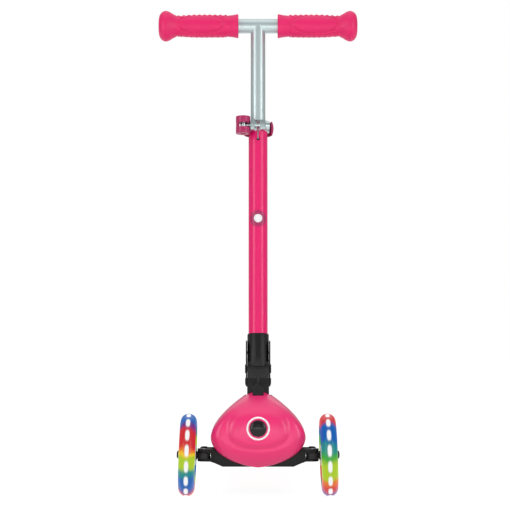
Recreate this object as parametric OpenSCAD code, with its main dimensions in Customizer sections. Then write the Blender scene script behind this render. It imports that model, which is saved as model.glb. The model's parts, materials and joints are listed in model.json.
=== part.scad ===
// Three-wheeled child's kick scooter that steers by leaning its T-bar.
// Frame: +Z up, the scooter rides towards -Y, +X is the rider's left.
// Origin: on the ground, under the centre of the bounding box.

/* [Overall] */
// Distance from the front axle line to the rear axle
wheel_base = 452; // [420:1:520]
// Front wheel diameter
front_wheel_d = 121; // [118:0.5:126]
// Rear wheel diameter
rear_wheel_d = 80; // [78:0.5:84]
// Distance between the middles of the two front tyres
front_track = 207; // [200:1:240]
// Inward lean of each front wheel's top, in degrees
camber = 2; // [0:0.5:3]
// Height of the crossbar's axis above the ground
bar_height = 704; // [680:1:800]
// Width over both grips
bar_width = 304; // [270:1:360]
// Backward slope of the T-bar, in degrees
bar_rake = 9; // [6:0.5:12]

/* [Tubes] */
// Outside diameter of the painted lower tube
outer_tube_d = 28.6; // [27:0.2:29]
// Wall of the painted lower tube
outer_tube_wall = 1.6; // [1.2:0.1:2]
// Height of the painted tube's mouth above the ground
outer_tube_top_z = 554; // [500:1:580]
// Wall of the plastic bush between the painted tube and the stem
bush_wall = 1.6; // [1.4:0.1:2.4]
// Wall of the stem and the crossbar
stem_wall = 1.6; // [1.2:0.1:2]
// How far the stem can rise from where it stands
raise_travel = 100; // [60:1:110]
// How far the stem can sink from where it stands
sink_travel = 45; // [20:1:60]

/* [Grips] */
// Length of one grip
grip_l = 122; // [110:1:130]
// Diameter of a grip at its waist
grip_d = 31; // [29:0.5:34]
// Diameter of the hand stop at a grip's outer end
hand_stop_d = 47; // [40:0.5:52]

/* [Deck] */
// Width of the footboard at the front
deck_w = 135; // [125:1:145]
// Height of the footboard's top face
deck_top_z = 70; // [69:0.5:72]
// Depth of the footboard's skirt
deck_depth = 23; // [20:0.5:25]
// Thickness of the footboard's top plate
deck_plate = 5; // [4:0.5:6]

/* [Nose] */
// Half width of the nose at its widest
nose_half_w = 69.5; // [66:0.5:74]
// Wall of the nose and neck covers
cover_wall = 2.6; // [2:0.1:3]
// Diameter of the steering lock button
button_d = 23.8; // [20:0.2:26]
// Height of the steering lock button
button_z = 102; // [99:0.5:104]

/* [Motion] */
// Largest lean of the T-bar to each side, in degrees
lean_limit = 8.3; // [5:0.1:8.5]
// Height of the lean axis
lean_z = 155; // [155:0.5:156]
// Length of a knuckle's steering arm
arm_l = 40; // [38:0.5:41]
// Travel of the steering lock button
button_travel = 5.5; // [4:0.5:6]
// Travel of the fold lock pin
lock_travel = 6; // [5:0.5:6]

/* [Hidden] */
$fn = 64;
eps = 0.01;

// Colours
pink = [0.93, 0.20, 0.47];
dark_pink = [0.70, 0.15, 0.36];
grip_pink = [0.95, 0.27, 0.52];
black = [0.09, 0.09, 0.10];
silver = [0.70, 0.75, 0.76];
steel = [0.62, 0.64, 0.66];
white = [0.96, 0.96, 0.96];
light_blue = [0.10, 0.45, 0.75];

// Fits
run_gap = 0.05;      // radial gap of a shaft that turns or slides in its bore
part_gap = 0.3;      // gap between faces of two bodies
cover_gap = 2;       // gap between the covers and what moves in them

// Places along the scooter, measured from the front axle line
front_r = front_wheel_d / 2;
rear_r = rear_wheel_d / 2;
overall_l = front_r + wheel_base + rear_r;
front_y = front_r - overall_l / 2;

// Wheels
tyre_w = 24;
tread_r = tyre_w / 2;
tyre_seat_r = 44;
hub_half = 12;
front_wheel_z = (front_r - tread_r) * cos(camber) + tread_r;
bearing_r = 11;
bearing_w = 7;
bearing_seat = 0.02;
axle_r = 4;
hub_r = 15;
hub_bore_r = 9.5;
lens_count = 16;
lens_l = 10;
lens_w = 6;
lens_h = 2;
rear_tyre_w = 28;
rear_rim_r = 29;

// Front beam and steering
king_in = 23.5;                       // from the middle of a front tyre in to its kingpin
king_x = front_track / 2 - king_in;
king_r = 3;
axle_z = front_wheel_z - king_in * tan(camber);
ear_r = 9;
fork_gap_low = axle_z - 4.5;
fork_gap_high = axle_z + 4.5;
fork_root_x = king_x - 10.5;
beam_end_low = fork_gap_low - 3.7;
beam_end_high = fork_gap_high + 5.7;
beam_mid_low = 44.2;
beam_mid_high = 62;
beam_half_y = 11.5;
tongue_t = 8;
tongue_top = beam_mid_low + tongue_t;
tongue_half_w = 36;
tongue_end_y = 112;
rod_low = fork_gap_high - 0.7;
rod_t = 4.5;
arm_low = axle_z - 2.7;
arm_high = rod_low - part_gap;
track_pin_r = 3;
drive_z = rod_low + 19.5;             // height of the tie rod's drive pin
drive_pin_r = 2.5;

// Column mount
mount_front_y = 12.5;
mount_wall = 7.5;
mount_rear_y = 56;
mount_half_w = 26;
mount_side_t = 4;
mount_top_z = 127;
upright_half_w = 8;
lean_shaft_r = 4;

// T-bar base
bar_y = 38;                           // where the T-bar's axis meets the lean axis
block_front_y = 22;
block_rear_y = 54;
block_low_z = lean_z - 12;
block_high_z = lean_z + 17;
lever_half_w = 5;
lever_front_y = 37;
lever_t = 6;
fold_t = 30;                          // fold pivot, measured up the T-bar's axis
knuckle_r = 14;
sleeve_r = outer_tube_d / 2 + 1.9;
block_half_w = sleeve_r;
sleeve_top_t = 82;
pivot_r = 4;
plate_t = 2;
plate_x = block_half_w + 0.1;
plate_top_t = 72;
slot_r = 24;                          // radius of the plates' arc slot about the fold pivot
lock_pin_r = 2.5;
fold_limit = 84;
tube_foot_t = 62;

// T-bar, measured up its own axis
function up_bar(z) = (z - lean_z) / cos(bar_rake);
crossbar_t = up_bar(bar_height);
outer_top_t = up_bar(outer_tube_top_z);
outer_r = outer_tube_d / 2;
outer_in_r = outer_r - outer_tube_wall;
stem_r = outer_in_r - bush_wall;        // the stem and the crossbar
guide_t = outer_top_t - 149;
guide_pin_r = 2.4;
stem_foot_t = guide_t - raise_travel - 17;
keyhole_l = 27;
bush_l = 40;

// Clamp
collar_h = 15;
collar_t = outer_top_t - collar_h;
collar_r = outer_r + 3.2;
lug_front = collar_r + 8.5;
bolt_y = -collar_r - 2.5;
bolt_mid_t = collar_t + collar_h / 2;
cam_r = 10.9;
cam_x = -11.6 - cam_r;
lever_h = 26;
lever_in_r = collar_r + 3;
lever_out_r = lever_in_r + 3.5;
barrel_r = 4;

// Nose shape: half width and front line against height
nose_low = 43.5;
nose_wide_z = 87.5;
nose_top = 152;
nose_face_y = -36;
nose_face_z = 92;
nose_back_y = -12.5;
nose_split_y = 20;
neck_top = 146;
neck_low = deck_top_z + 1.5;
neck_end_y = 150;
neck_back_y = 68;
function nose_w(z) =
  z >= nose_wide_z
    ? nose_half_w * (1 - 0.837 * pow((z - nose_wide_z) / (nose_top - nose_wide_z), 1.7))
    : nose_half_w * pow(max(0.0001, 1 - pow((nose_wide_z - z) / (nose_wide_z - nose_low), 2)), 0.62);
function nose_front(z) =
  z >= nose_face_z
    ? nose_face_y + 54 * pow((z - nose_face_z) / 60, 3)
    : nose_face_y + 21 * pow((nose_face_z - z) / (nose_face_z - nose_low), 2.5);
function nose_depth(z) = z >= nose_face_z ? nose_back_y - nose_face_y : nose_back_y - nose_front(z);
function nose_skin_y(x, z) =
  nose_front(z) + nose_depth(z)
    - nose_depth(z) * pow(max(0, 1 - pow(abs(x) / nose_w(z), 2.5)), 0.4);
function neck_rear(z) =
  neck_back_y + (neck_end_y - neck_back_y) * pow((neck_top - z) / (neck_top - neck_low), 2.4);

// Deck places
deck_low_z = deck_top_z - deck_depth;
deck_front_y = 70.5;
deck_front_r = 19.5;
deck_rear_r = 30;
deck_rear_y = wheel_base - 37;
deck_rear_half = deck_w / 2 - 3.5;
skirt_t = 4;
rib_t = 3;
fork_arm_in = 17.5;
fork_arm_t = 5;
fork_front_y = wheel_base - 112;
fork_base_z = deck_top_z - deck_plate - 9;
brake_y = wheel_base - 47;
brake_z = rear_r + 22;
fender_in_r = rear_r + 8.5;
fender_t = 4;
fender_half_w = 17;

// ---- helpers ----
function arc(cx, cy, r, from, to, n = 12) =
  [for (i = [0:n]) [cx + r * cos(from + (to - from) * i / n), cy + r * sin(from + (to - from) * i / n)]];
function sign_pow(v, p) = sign(v) * pow(abs(v), p);

module from_axle() translate([0, front_y, 0]) children();
module on_bar() translate([0, front_y + bar_y, lean_z]) rotate([-bar_rake, 0, 0]) children();
module on_wheel(side)
  translate([side * front_track / 2, front_y, front_wheel_z]) rotate([0, -side * camber, 0])
    scale([1, 1, 1]) rotate([0, 0, side > 0 ? 0 : 180]) children();
module rod_x(r, l) rotate([0, 90, 0]) cylinder(r = r, h = l, center = true);
module rod_y(r, from, to) translate([0, from, 0]) rotate([-90, 0, 0]) cylinder(r = r, h = to - from);
module ring(r_out, r_in, h) difference() {
  cylinder(r = r_out, h = h);
  translate([0, 0, -1]) cylinder(r = r_in, h = h + 2);
}
module ring_x(r_out, r_in, x0, x1) translate([x0, 0, 0]) rotate([0, 90, 0]) ring(r_out, r_in, x1 - x0);

// Turned profile [radius, along] about the X axis
module turned_x(points, sweep = 360) rotate([0, 90, 0]) rotate_extrude(angle = sweep) polygon(points);

// A coil spring along +Z, from 0 to length
module coil(r, wire_r, turns, length, sides = 6, steps = 10) {
  n = turns * steps;
  points = [
    for (i = [0:n]) for (j = [0:sides - 1])
      let (a = 360 * i / steps, b = 360 * j / sides, rr = r + wire_r * cos(b))
        [rr * cos(a), rr * sin(a), wire_r + (length - 2 * wire_r) * i / n + wire_r * sin(b)]
  ];
  skin = [
    for (i = [0:n - 1]) for (j = [0:sides - 1])
      let (k = (j + 1) % sides)
        [i * sides + j, (i + 1) * sides + j, (i + 1) * sides + k, i * sides + k]
  ];
  polyhedron(points, concat(skin, [[for (j = [0:sides - 1]) j]],
    [[for (j = [sides - 1:-1:0]) n * sides + j]]), convexity = 8);
}

// A sheet with thickness between two point grids of the same size, rows by columns
module thick_sheet(outer, inner) {
  rows = len(outer);
  cols = len(outer[0]);
  half = rows * cols;
  points = concat([for (r = outer) for (p = r) p], [for (r = inner) for (p = r) p]);
  function id(i, j, k) = k * half + i * cols + j;
  skins = [
    for (i = [0:rows - 2]) for (j = [0:cols - 2]) for (k = [0, 1])
      k == 0
        ? [id(i, j, 0), id(i, j + 1, 0), id(i + 1, j + 1, 0), id(i + 1, j, 0)]
        : [id(i, j, 1), id(i + 1, j, 1), id(i + 1, j + 1, 1), id(i, j + 1, 1)]
  ];
  ends = [
    for (j = [0:cols - 2]) for (k = [0, 1])
      k == 0
        ? [id(0, j, 0), id(0, j, 1), id(0, j + 1, 1), id(0, j + 1, 0)]
        : [id(rows - 1, j, 0), id(rows - 1, j + 1, 0), id(rows - 1, j + 1, 1), id(rows - 1, j, 1)]
  ];
  sides = [
    for (i = [0:rows - 2]) for (k = [0, 1])
      k == 0
        ? [id(i, 0, 0), id(i + 1, 0, 0), id(i + 1, 0, 1), id(i, 0, 1)]
        : [id(i, cols - 1, 0), id(i, cols - 1, 1), id(i + 1, cols - 1, 1), id(i + 1, cols - 1, 0)]
  ];
  polyhedron(points, concat(skins, ends, sides), convexity = 6);
}

// ---- chassis ----
module deck_outline(inset = 0)
  polygon(concat(
    arc(deck_w / 2 - deck_front_r, deck_front_y + deck_front_r, deck_front_r - inset, -90, 0),
    arc(deck_rear_half - deck_rear_r, deck_rear_y - deck_rear_r, deck_rear_r - inset, 0, 90),
    arc(deck_rear_r - deck_rear_half, deck_rear_y - deck_rear_r, deck_rear_r - inset, 90, 180),
    arc(deck_front_r - deck_w / 2, deck_front_y + deck_front_r, deck_front_r - inset, 180, 270)));

module deck_board() color(pink) from_axle() difference() {
  union() {
    translate([0, 0, deck_top_z - deck_plate]) linear_extrude(deck_plate) deck_outline();
    translate([0, 0, deck_low_z]) linear_extrude(deck_depth) difference() {
      deck_outline();
      deck_outline(skirt_t);
    }
    translate([0, 0, deck_low_z + 3]) linear_extrude(deck_depth - 3 - eps) intersection() {
      deck_outline(skirt_t - 1);
      union() {
        for (x = [-45, -15, 15, 45]) translate([x - rib_t / 2, 0]) square([rib_t, wheel_base]);
        for (y = [deck_front_y + 62:42:deck_rear_y - 60]) translate([-deck_w / 2, y]) square([deck_w, rib_t]);
      }
    }
    // pads that the beam's tongue and the rear fork bolt up to
    translate([-tongue_half_w, deck_front_y + 1, tongue_top])
      cube([2 * tongue_half_w, tongue_end_y - deck_front_y, deck_top_z - tongue_top - 1]);
    translate([-fork_arm_in - fork_arm_t, fork_front_y, fork_base_z + 6])
      cube([2 * (fork_arm_in + fork_arm_t), 56, deck_top_z - fork_base_z - 7]);
  }
  // room for the tongue, the fork and the rear wheel
  translate([-tongue_half_w - 0.2, 0, 0]) cube([2 * tongue_half_w + 0.4, tongue_end_y + 0.5, tongue_top]);
  translate([-fork_arm_in - fork_arm_t - 0.5, fork_front_y - 0.5, 0])
    cube([2 * (fork_arm_in + fork_arm_t) + 1, 120, fork_base_z + 6]);
  translate([-fork_arm_in - fork_arm_t - 3, brake_y - 13, 0])
    cube([2 * (fork_arm_in + fork_arm_t) + 6, 60, deck_top_z + 1]);
  // seat of the grip mat
  translate([0, 0, deck_top_z - 1]) linear_extrude(2) mat_outline(0);
  // screw holes
  for (p = tongue_screws()) translate([p[0], p[1], 0]) cylinder(r = 2.5, h = deck_top_z - 3);
  for (p = fork_screws()) translate([p[0], p[1], 0]) cylinder(r = 2.5, h = deck_top_z - 3);
}

mat_front_y = neck_end_y + 8;
mat_rear_y = brake_y - 18;
mat_half_w = deck_w / 2 - 11;
module mat_outline(inset) {
  r = 16;
  polygon(concat(
    arc(mat_half_w - r, mat_front_y + r, r - inset, -90, 0, 8),
    arc(mat_half_w - 4 - r, mat_rear_y - r, r - inset, 0, 90, 8),
    arc(r - mat_half_w + 4, mat_rear_y - r, r - inset, 90, 180, 8),
    arc(r - mat_half_w, mat_front_y + r, r - inset, 180, 270, 8)));
}
module deck_mat() color(black) from_axle() difference() {
  translate([0, 0, deck_top_z - 1]) linear_extrude(2.2) mat_outline(0.2);
  for (y = [mat_front_y + 14:12:mat_rear_y - 14])
    translate([-mat_half_w + 14, y, deck_top_z + 0.4]) cube([2 * mat_half_w - 28, 3, 2]);
}

module beam_face() polygon([
  [-king_x - ear_r, beam_end_low], [-king_x + 10, beam_end_low], [-62, beam_mid_low + 4.4],
  [-52, beam_mid_low], [52, beam_mid_low], [62, beam_mid_low + 4.4], [king_x - 10, beam_end_low],
  [king_x + ear_r, beam_end_low], [king_x + ear_r, beam_end_high], [king_x - 12, beam_end_high - 0.8],
  [56, beam_mid_high + 3], [46, beam_mid_high], [-46, beam_mid_high], [-56, beam_mid_high + 3],
  [12 - king_x, beam_end_high - 0.8], [-king_x - ear_r, beam_end_high]]);

module front_beam() color(black) from_axle() difference() {
  union() {
    intersection() {
      translate([0, beam_half_y, 0]) rotate([90, 0, 0]) linear_extrude(2 * beam_half_y) beam_face();
      translate([0, 0, beam_mid_low - 1]) linear_extrude(60) union() {
        polygon([[-king_x, -ear_r], [-58, -beam_half_y], [58, -beam_half_y], [king_x, -ear_r],
          [king_x, ear_r], [58, beam_half_y], [-58, beam_half_y], [-king_x, ear_r]]);
        for (s = [-1, 1]) translate([s * king_x, 0]) circle(ear_r);
      }
    }
    translate([-tongue_half_w, 0, beam_mid_low]) cube([2 * tongue_half_w, tongue_end_y, tongue_t]);
  }
  for (s = [-1, 1]) {
    translate([s * (fork_root_x + 20), 0, (fork_gap_low + fork_gap_high) / 2])
      cube([40, 60, fork_gap_high - fork_gap_low], center = true);
    translate([s * king_x, 0, 0]) cylinder(r = king_r, h = 100);
  }
  for (p = tongue_screws()) translate([p[0], p[1], 0]) cylinder(r = 3.2, h = 100);
  for (p = mount_screws()) translate([p[0], p[1], 0]) cylinder(r = 2.7, h = 100);
}

module king_pins() color(steel) from_axle() for (s = [-1, 1])
  translate([s * king_x, 0, beam_end_low - 0.6]) cylinder(r = king_r, h = beam_end_high - beam_end_low + 0.8);

module column_mount() color(black) from_axle() difference() {
  union() {
    translate([-mount_half_w, mount_front_y, tongue_top])
      cube([2 * mount_half_w, mount_rear_y + mount_wall - mount_front_y, mount_top_z - tongue_top]);
    for (y = [mount_front_y, mount_rear_y]) {
      translate([-upright_half_w, y, mount_top_z - 10])
        cube([2 * upright_half_w, mount_wall, lean_z - mount_top_z + 10]);
      translate([0, y, lean_z]) rod_y(upright_half_w, 0, mount_wall);
      // shoulders under each upright
      translate([0, y + mount_wall, 0]) rotate([90, 0, 0]) linear_extrude(mount_wall)
        polygon([[-mount_half_w, mount_top_z - 1], [mount_half_w, mount_top_z - 1],
          [upright_half_w, mount_top_z + 8], [-upright_half_w, mount_top_z + 8]]);
    }
  }
  // the well that the lever and the tie rod work in
  translate([-mount_half_w + mount_side_t, mount_front_y + mount_wall, tongue_top + 6])
    cube([2 * (mount_half_w - mount_side_t), mount_rear_y - mount_front_y - mount_wall, 100]);
  // side windows for the tie rod
  translate([-50, arm_l - 9, rod_low - 4.3]) cube([100, 18, 14]);
  // bores of the lean shaft, the lock plunger and the screws
  translate([0, 0, lean_z]) rod_y(lean_shaft_r, mount_front_y + 2.5, mount_rear_y + mount_wall + 1);
  translate([0, 0, button_z]) rod_y(plunger_r + 0.1, 0, mount_front_y + mount_wall + 1);
  for (p = mount_screws()) translate([p[0], p[1], 0]) cylinder(r = 2.3, h = tongue_top + 6 + 1);
}

function tongue_screws() = [for (x = [-26, 26]) for (y = [84, 104]) [x, y]];
function fork_screws() = [for (x = [-12, 12]) for (y = [fork_front_y + 10, fork_front_y + 46]) [x, y]];
function mount_screws() = [for (x = [-20, 20]) for (y = [mount_front_y + 12, mount_rear_y - 3]) [x, y]];
module cap_screw(r, l) {
  cylinder(r1 = 1.8 * r - 0.5, r2 = 1.8 * r, h = 0.8);
  translate([0, 0, 0.8 - eps]) cylinder(r = 1.8 * r, h = 1.7);
  cylinder(r = r, h = l + 2.5);
}
module deck_screws() color(steel) from_axle() {
  for (p = tongue_screws()) translate([p[0], p[1], beam_mid_low - 2.5]) cap_screw(2.5, tongue_t + 12);
  for (p = fork_screws()) translate([p[0], p[1], fork_base_z - 2.5]) cap_screw(2.5, 11);
  for (p = mount_screws()) translate([p[0], p[1], beam_mid_low - 2.5]) cap_screw(2.3, tongue_t + 5);
}

module nose_grid_sheet(front_cols, z_list, z_list_in) {
  // a row runs from the rear left, round the front, to the rear right
  function row(z, off) =
    let (w = max(0.3, nose_w(z) - off), f = nose_front(z) + off, d = max(0.5, nose_depth(z) - off))
      concat([[-w, 45, z]],
        [for (j = [0:front_cols]) let (a = 180 - 180 * j / front_cols)
          [w * sign_pow(cos(a), 0.8), f + d - d * pow(abs(sin(a)), 0.8), z]],
        [[w, 45, z]]);
  thick_sheet([for (z = z_list) row(z, 0)], [for (z = z_list_in) row(z, cover_wall)]);
}
nose_rows = 26;
module nose_cover() color(pink) from_axle() difference() {
  nose_grid_sheet(28,
    [for (i = [0:nose_rows]) nose_low + (nose_top - nose_low) * (1 - cos(90 * i / nose_rows)) * 0.5
      + (nose_top - nose_low) * (i / nose_rows) * 0.5],
    [for (i = [0:nose_rows]) let (low = nose_low + cover_wall)
      low + (nose_top - low) * (1 - cos(90 * i / nose_rows)) * 0.5 + (nose_top - low) * (i / nose_rows) * 0.5]);
  translate([-100, nose_split_y, 0]) cube([200, 60, 200]);
  translate([-100, nose_back_y + 0.5, 0]) cube([200, 80, max(neck_low, axle_z + 11.8)]);
  translate([-upright_half_w - 0.4, mount_front_y - 0.8, neck_top - 8]) cube([2 * upright_half_w + 0.8, 20, 30]);
  translate([0, 0, button_z]) rod_y(button_d / 2 + part_gap, -80, 0);
}

neck_rows = 14;
module neck_cover() {
  cols = 24;
  function row(z, off) =
    let (w = nose_w(z) - off, r = neck_rear(z) - off, s = nose_split_y + 10)
      concat([[-w, nose_split_y, z]],
        [for (j = [0:cols]) let (a = 180 * j / cols)
          [-w * sign_pow(cos(a), 0.8), s + (r - s) * pow(abs(sin(a)), 0.8), z]],
        [[w, nose_split_y, z]]);
  zs = [for (i = [0:neck_rows]) neck_top + (neck_low - neck_top) * pow(i / neck_rows, 1.25)];
  color(pink) from_axle() difference() {
    thick_sheet([for (z = zs) row(z, 0)], [for (z = zs) row(z, cover_wall)]);
    translate([-block_half_w - cover_gap - 0.4, nose_split_y - 1, lean_z - 17])
      cube([2 * (block_half_w + cover_gap + 0.4), mount_rear_y + mount_wall - nose_split_y + 2, 60]);
    // way through for the tie rod
    translate([-100, arm_l - 9, rod_low - 3]) cube([200, 18, rod_t + 6.4]);
  }
}

// A flat-backed ring that follows the nose's skin round the button
module button_ring() {
  n = 48;
  function circle_at(r, lift) = [for (i = [0:n - 1]) let (a = 360 * i / n, x = r * cos(a), z = button_z + r * sin(a))
    [x, nose_skin_y(x, z) - lift, z]];
  r_in = button_d / 2 + 2.1;
  r_out = r_in + 3.4;
  points = concat(circle_at(r_in, 0.7), circle_at(r_out, 0.7), circle_at(r_out, 0.1), circle_at(r_in, 0.1));
  color(white) from_axle() polyhedron(points, [for (k = [0:3]) for (i = [0:n - 1])
    let (m = (i + 1) % n, l = (k + 1) % 4) [k * n + i, l * n + i, l * n + m, k * n + m]]);
}

module lean_shaft() color(steel) from_axle() translate([0, 0, lean_z]) {
  rod_y(lean_shaft_r, mount_front_y + 2.5, mount_rear_y + mount_wall + 1);
  rod_y(6, mount_rear_y + mount_wall, mount_rear_y + mount_wall + 3);
}

// Rubber blocks either side of the lever, which bring the T-bar upright again
module centring_bumpers() color(black) from_axle() for (s = [-1, 1])
  translate([s * (lever_half_w + part_gap), lever_front_y + lever_t / 2, lean_z - 36])
    rotate([0, s * 90, 0]) difference() {
      cylinder(r = 7.5, h = mount_half_w - mount_side_t - lever_half_w - part_gap);
      for (h = [4, 9, 14]) translate([0, 0, h]) ring(9, 6, 1.6);
    }

// ---- steering ----
module tie_rod() color(black) from_axle() difference() {
  union() {
    translate([-king_x - 6, arm_l - 5, rod_low]) cube([2 * king_x + 12, 10, rod_t]);
    translate([-10, arm_l - 5, rod_low]) cube([20, 14.5, rod_t]);
    translate([-7, arm_l + 4.5, rod_low]) cube([14, 5, drive_z + 7 - rod_low]);
    translate([0, 0, drive_z]) rod_y(drive_pin_r, lever_front_y - 0.5, arm_l + 6);
  }
  for (s = [-1, 1]) translate([s * king_x, arm_l - 0.7, rod_low - 1]) {
    for (y = [-0.9, 0.9]) translate([0, y, 0]) cylinder(r = track_pin_r + 0.3, h = rod_t + 2);
    translate([-track_pin_r - 0.3, -0.9, 0]) cube([2 * track_pin_r + 0.6, 1.8, rod_t + 2]);
  }
}

module knuckle(side) color(black) difference() {
  union() {
    from_axle() translate([side * king_x, 0, 0]) {
      translate([0, 0, fork_gap_low + 0.2]) cylinder(r = 8.5, h = fork_gap_high - fork_gap_low - 0.4);
      translate([-4.5, 0, arm_low]) cube([9, arm_l, arm_high - arm_low]);
      translate([0, arm_l, arm_low]) cylinder(r = 6, h = arm_high - arm_low);
      translate([0, arm_l, arm_low]) cylinder(r = track_pin_r, h = rod_low + rod_t + 1.2 - arm_low);
      translate([0, arm_l, rod_low + rod_t + 0.2]) cylinder(r = 4.4, h = 1);
    }
    on_wheel(side) {
      translate([-king_in + 4, 0, 0]) rotate([0, 90, 0]) cylinder(r = 4.2, h = king_in - 4 - hub_half - 2);
      translate([-hub_half - 2.1, 0, 0]) rotate([0, 90, 0]) cylinder(r = 6.5, h = 2.1 - part_gap);
      translate([-hub_half - 3, 0, 0]) rotate([0, 90, 0]) cylinder(r = axle_r - run_gap, h = 2 * hub_half + 5);
    }
  }
  from_axle() translate([side * king_x, 0, 0]) cylinder(r = king_r + run_gap, h = 100);
}

module axle_nut(side) color(black) on_wheel(side) difference() {
  union() {
    translate([hub_half + part_gap, 0, 0]) rotate([0, 90, 0]) cylinder(r = 6.2, h = 2);
    translate([hub_half + part_gap + 2, 0, 0]) rotate([0, 90, 0]) cylinder(r1 = 6.2, r2 = 3.6, h = 1.8);
  }
  translate([hub_half - 1, 0, 0]) rotate([0, 90, 0]) cylinder(r = axle_r - run_gap, h = 3);
}

// ---- front wheels ----
module magnet(side) color(steel) on_wheel(side)
  ring_x(8, axle_r - run_gap, -hub_half + bearing_w + 0.3, hub_half - bearing_w - 0.3);
module front_tyre(side) color(light_blue) on_wheel(side) difference() {
  union() {
    rotate([0, 90, 0]) rotate_extrude() translate([front_r - tread_r, 0]) circle(tread_r);
    ring_x(front_r - tread_r, tyre_seat_r, -tread_r, tread_r);
  }
  ring_x(tyre_seat_r, 20, -20, 20);
  ring_x(tyre_seat_r + lens_h + 0.3, 20, -lens_w / 2 - 0.3, lens_w / 2 + 0.3);
}
module front_rim(side) color(white) on_wheel(side) difference() {
  union() {
    ring_x(hub_r, hub_bore_r, -hub_half, hub_half);
    ring_x(35, hub_r - 1, -2.5, 2.5);
    ring_x(36, 34, -9, 9);
    for (s = [-1, 1]) ring_x(tyre_seat_r, 35, s > 0 ? 6.5 : -9, s > 0 ? 9 : -6.5);
  }
  for (s = [-1, 1]) translate([s * (hub_half - bearing_w / 2 + 1), 0, 0]) rod_x(bearing_r + bearing_seat, bearing_w + 2);
  for (a = [0:60:300]) rotate([a, 0, 0]) translate([0, 0, 24.8]) rod_x(6.8, 20);
}
module light_ring(side) color(white) on_wheel(side) {
  ring_x(tyre_seat_r - 0.1, 36, -6.4, 6.4);
  intersection() {
    ring_x(tyre_seat_r + lens_h, 40, -lens_w / 2, lens_w / 2);
    for (i = [0:lens_count - 1]) rotate([i * 360 / lens_count, 0, 0])
      translate([0, 0, tyre_seat_r]) cube([lens_w, lens_l, 8], center = true);
  }
}
module bearing_pair(half_span) for (s = [-1, 1])
  ring_x(bearing_r, axle_r, s > 0 ? half_span - bearing_w : -half_span, s > 0 ? half_span : -half_span + bearing_w);
module front_bearings(side) color(steel) on_wheel(side) bearing_pair(hub_half);

// ---- T-bar base ----
module lean_block() color(black) from_axle() difference() {
  union() {
    translate([-block_half_w, block_front_y, block_low_z])
      cube([2 * block_half_w, block_rear_y - block_front_y, block_high_z - block_low_z]);
    translate([0, 0, lean_z]) rod_y(9, block_front_y - 1, block_rear_y + 1);
  }
  // cradle that clears the sleeve's foot
  translate([0, bar_y, lean_z]) rotate([-bar_rake, 0, 0]) translate([0, 0, fold_t]) {
    rod_x(sleeve_r + 1.4, 60);
    rotate([-fold_limit, 0, 0]) translate([-50, -sleeve_r - 1, -2]) cube([100, 2 * sleeve_r + 2, 60]);
  }
  translate([0, 0, lean_z]) rod_y(lean_shaft_r + 1.6, 0, 100);
  // slot for the lever's head
  translate([-lever_half_w - 2, lever_front_y, block_low_z - 1]) cube([2 * lever_half_w + 4, lever_t, 5]);
  on_bar_in_axle() for (y = plate_bolts()) translate([0, y, plate_bolt_t]) rod_x(2.5, 60);
}
plate_bolt_t = 11;
function plate_bolts() = [-11.5, 11.5];
module on_bar_in_axle() translate([0, bar_y, lean_z]) rotate([-bar_rake, 0, 0]) children();

module steering_lever() color(steel) from_axle() translate([0, lever_front_y, 0]) difference() {
  union() {
    translate([-lever_half_w - 2, 0, block_low_z - 3]) cube([2 * lever_half_w + 4, lever_t, 7 - eps]);
    translate([-lever_half_w, 0, drive_z - 3]) cube([2 * lever_half_w, lever_t, block_low_z - drive_z + 1]);
    translate([0, 0, drive_z - 2]) rod_y(lever_half_w, 0, lever_t);
  }
  translate([-drive_pin_r - 0.15, -1, drive_z - 1.3]) cube([2 * drive_pin_r + 0.3, lever_t + 2, 2.6]);
  for (z = [-1.3, 1.3]) translate([0, 0, drive_z + z]) rod_y(drive_pin_r + 0.15, -1, lever_t + 1);
  translate([0, 0, button_z]) rod_y(plunger_r + 0.25, -1, lever_t + 1);
}

module lean_bushes() color(white) from_axle() translate([0, 0, lean_z]) for (s = [0, 1]) difference() {
  union() {
    rod_y(lean_shaft_r + 1.6 - 0.02, s == 0 ? block_front_y - 1 : block_rear_y - 8, s == 0 ? block_front_y + 8 : block_rear_y + 1);
    rod_y(8, s == 0 ? block_front_y - 1.7 : block_rear_y + 1, s == 0 ? block_front_y - 1 : block_rear_y + 1.7);
  }
  rod_y(lean_shaft_r + run_gap, 0, 100);
}

// Outline of a hinge plate, as [backwards, up the bar]
function plate_outline() =
  let (big = slot_r + 7, low = 5, d = plate_top_t - 12 - fold_t,
    at_big = 90 - acos((big * big + d * d - 144) / (2 * big * d)),
    at_top = acos((144 + d * d - big * big) / (24 * d)) - 90,
    at_low = -asin((fold_t - low) / big))
  concat([[-14.5, low]], arc(0, fold_t, big, at_low, at_big, 18), arc(0, plate_top_t - 12, 12, at_top, 180, 18),
    [[-12, 17.5], [-14.5, 15]]);
// The arc slot and, at its upright end, the pocket that the locked pin drops into
function plate_slot() =
  let (w = lock_pin_r + 0.3, last = 90 - fold_limit, inner = slot_r - w, down = fold_t + slot_r - lock_travel)
  concat(arc(0, fold_t, slot_r + w, last, 90, 20), arc(0, fold_t + slot_r, w, 105, 180, 5),
    arc(0, down, w, 180, 360, 12), arc(0, fold_t, inner, acos(w / inner), last, 20),
    arc(slot_r * cos(last), fold_t + slot_r * sin(last), w, last + 195, last + 345, 10));
module hinge_plate(side) color(black) on_bar()
  translate([side > 0 ? plate_x : -plate_x - plate_t, 0, 0]) difference() {
    rotate([90, 0, 90]) linear_extrude(plate_t) polygon(plate_outline());
    translate([-1, 0, 0]) rotate([90, 0, 90]) linear_extrude(plate_t + 2) polygon(plate_slot());
    translate([-1, 0, fold_t]) rotate([0, 90, 0]) cylinder(r = pivot_r, h = plate_t + 2);
    for (y = plate_bolts()) translate([-1, y, plate_bolt_t]) rotate([0, 90, 0]) cylinder(r = 2.5, h = plate_t + 2);
  }

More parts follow.
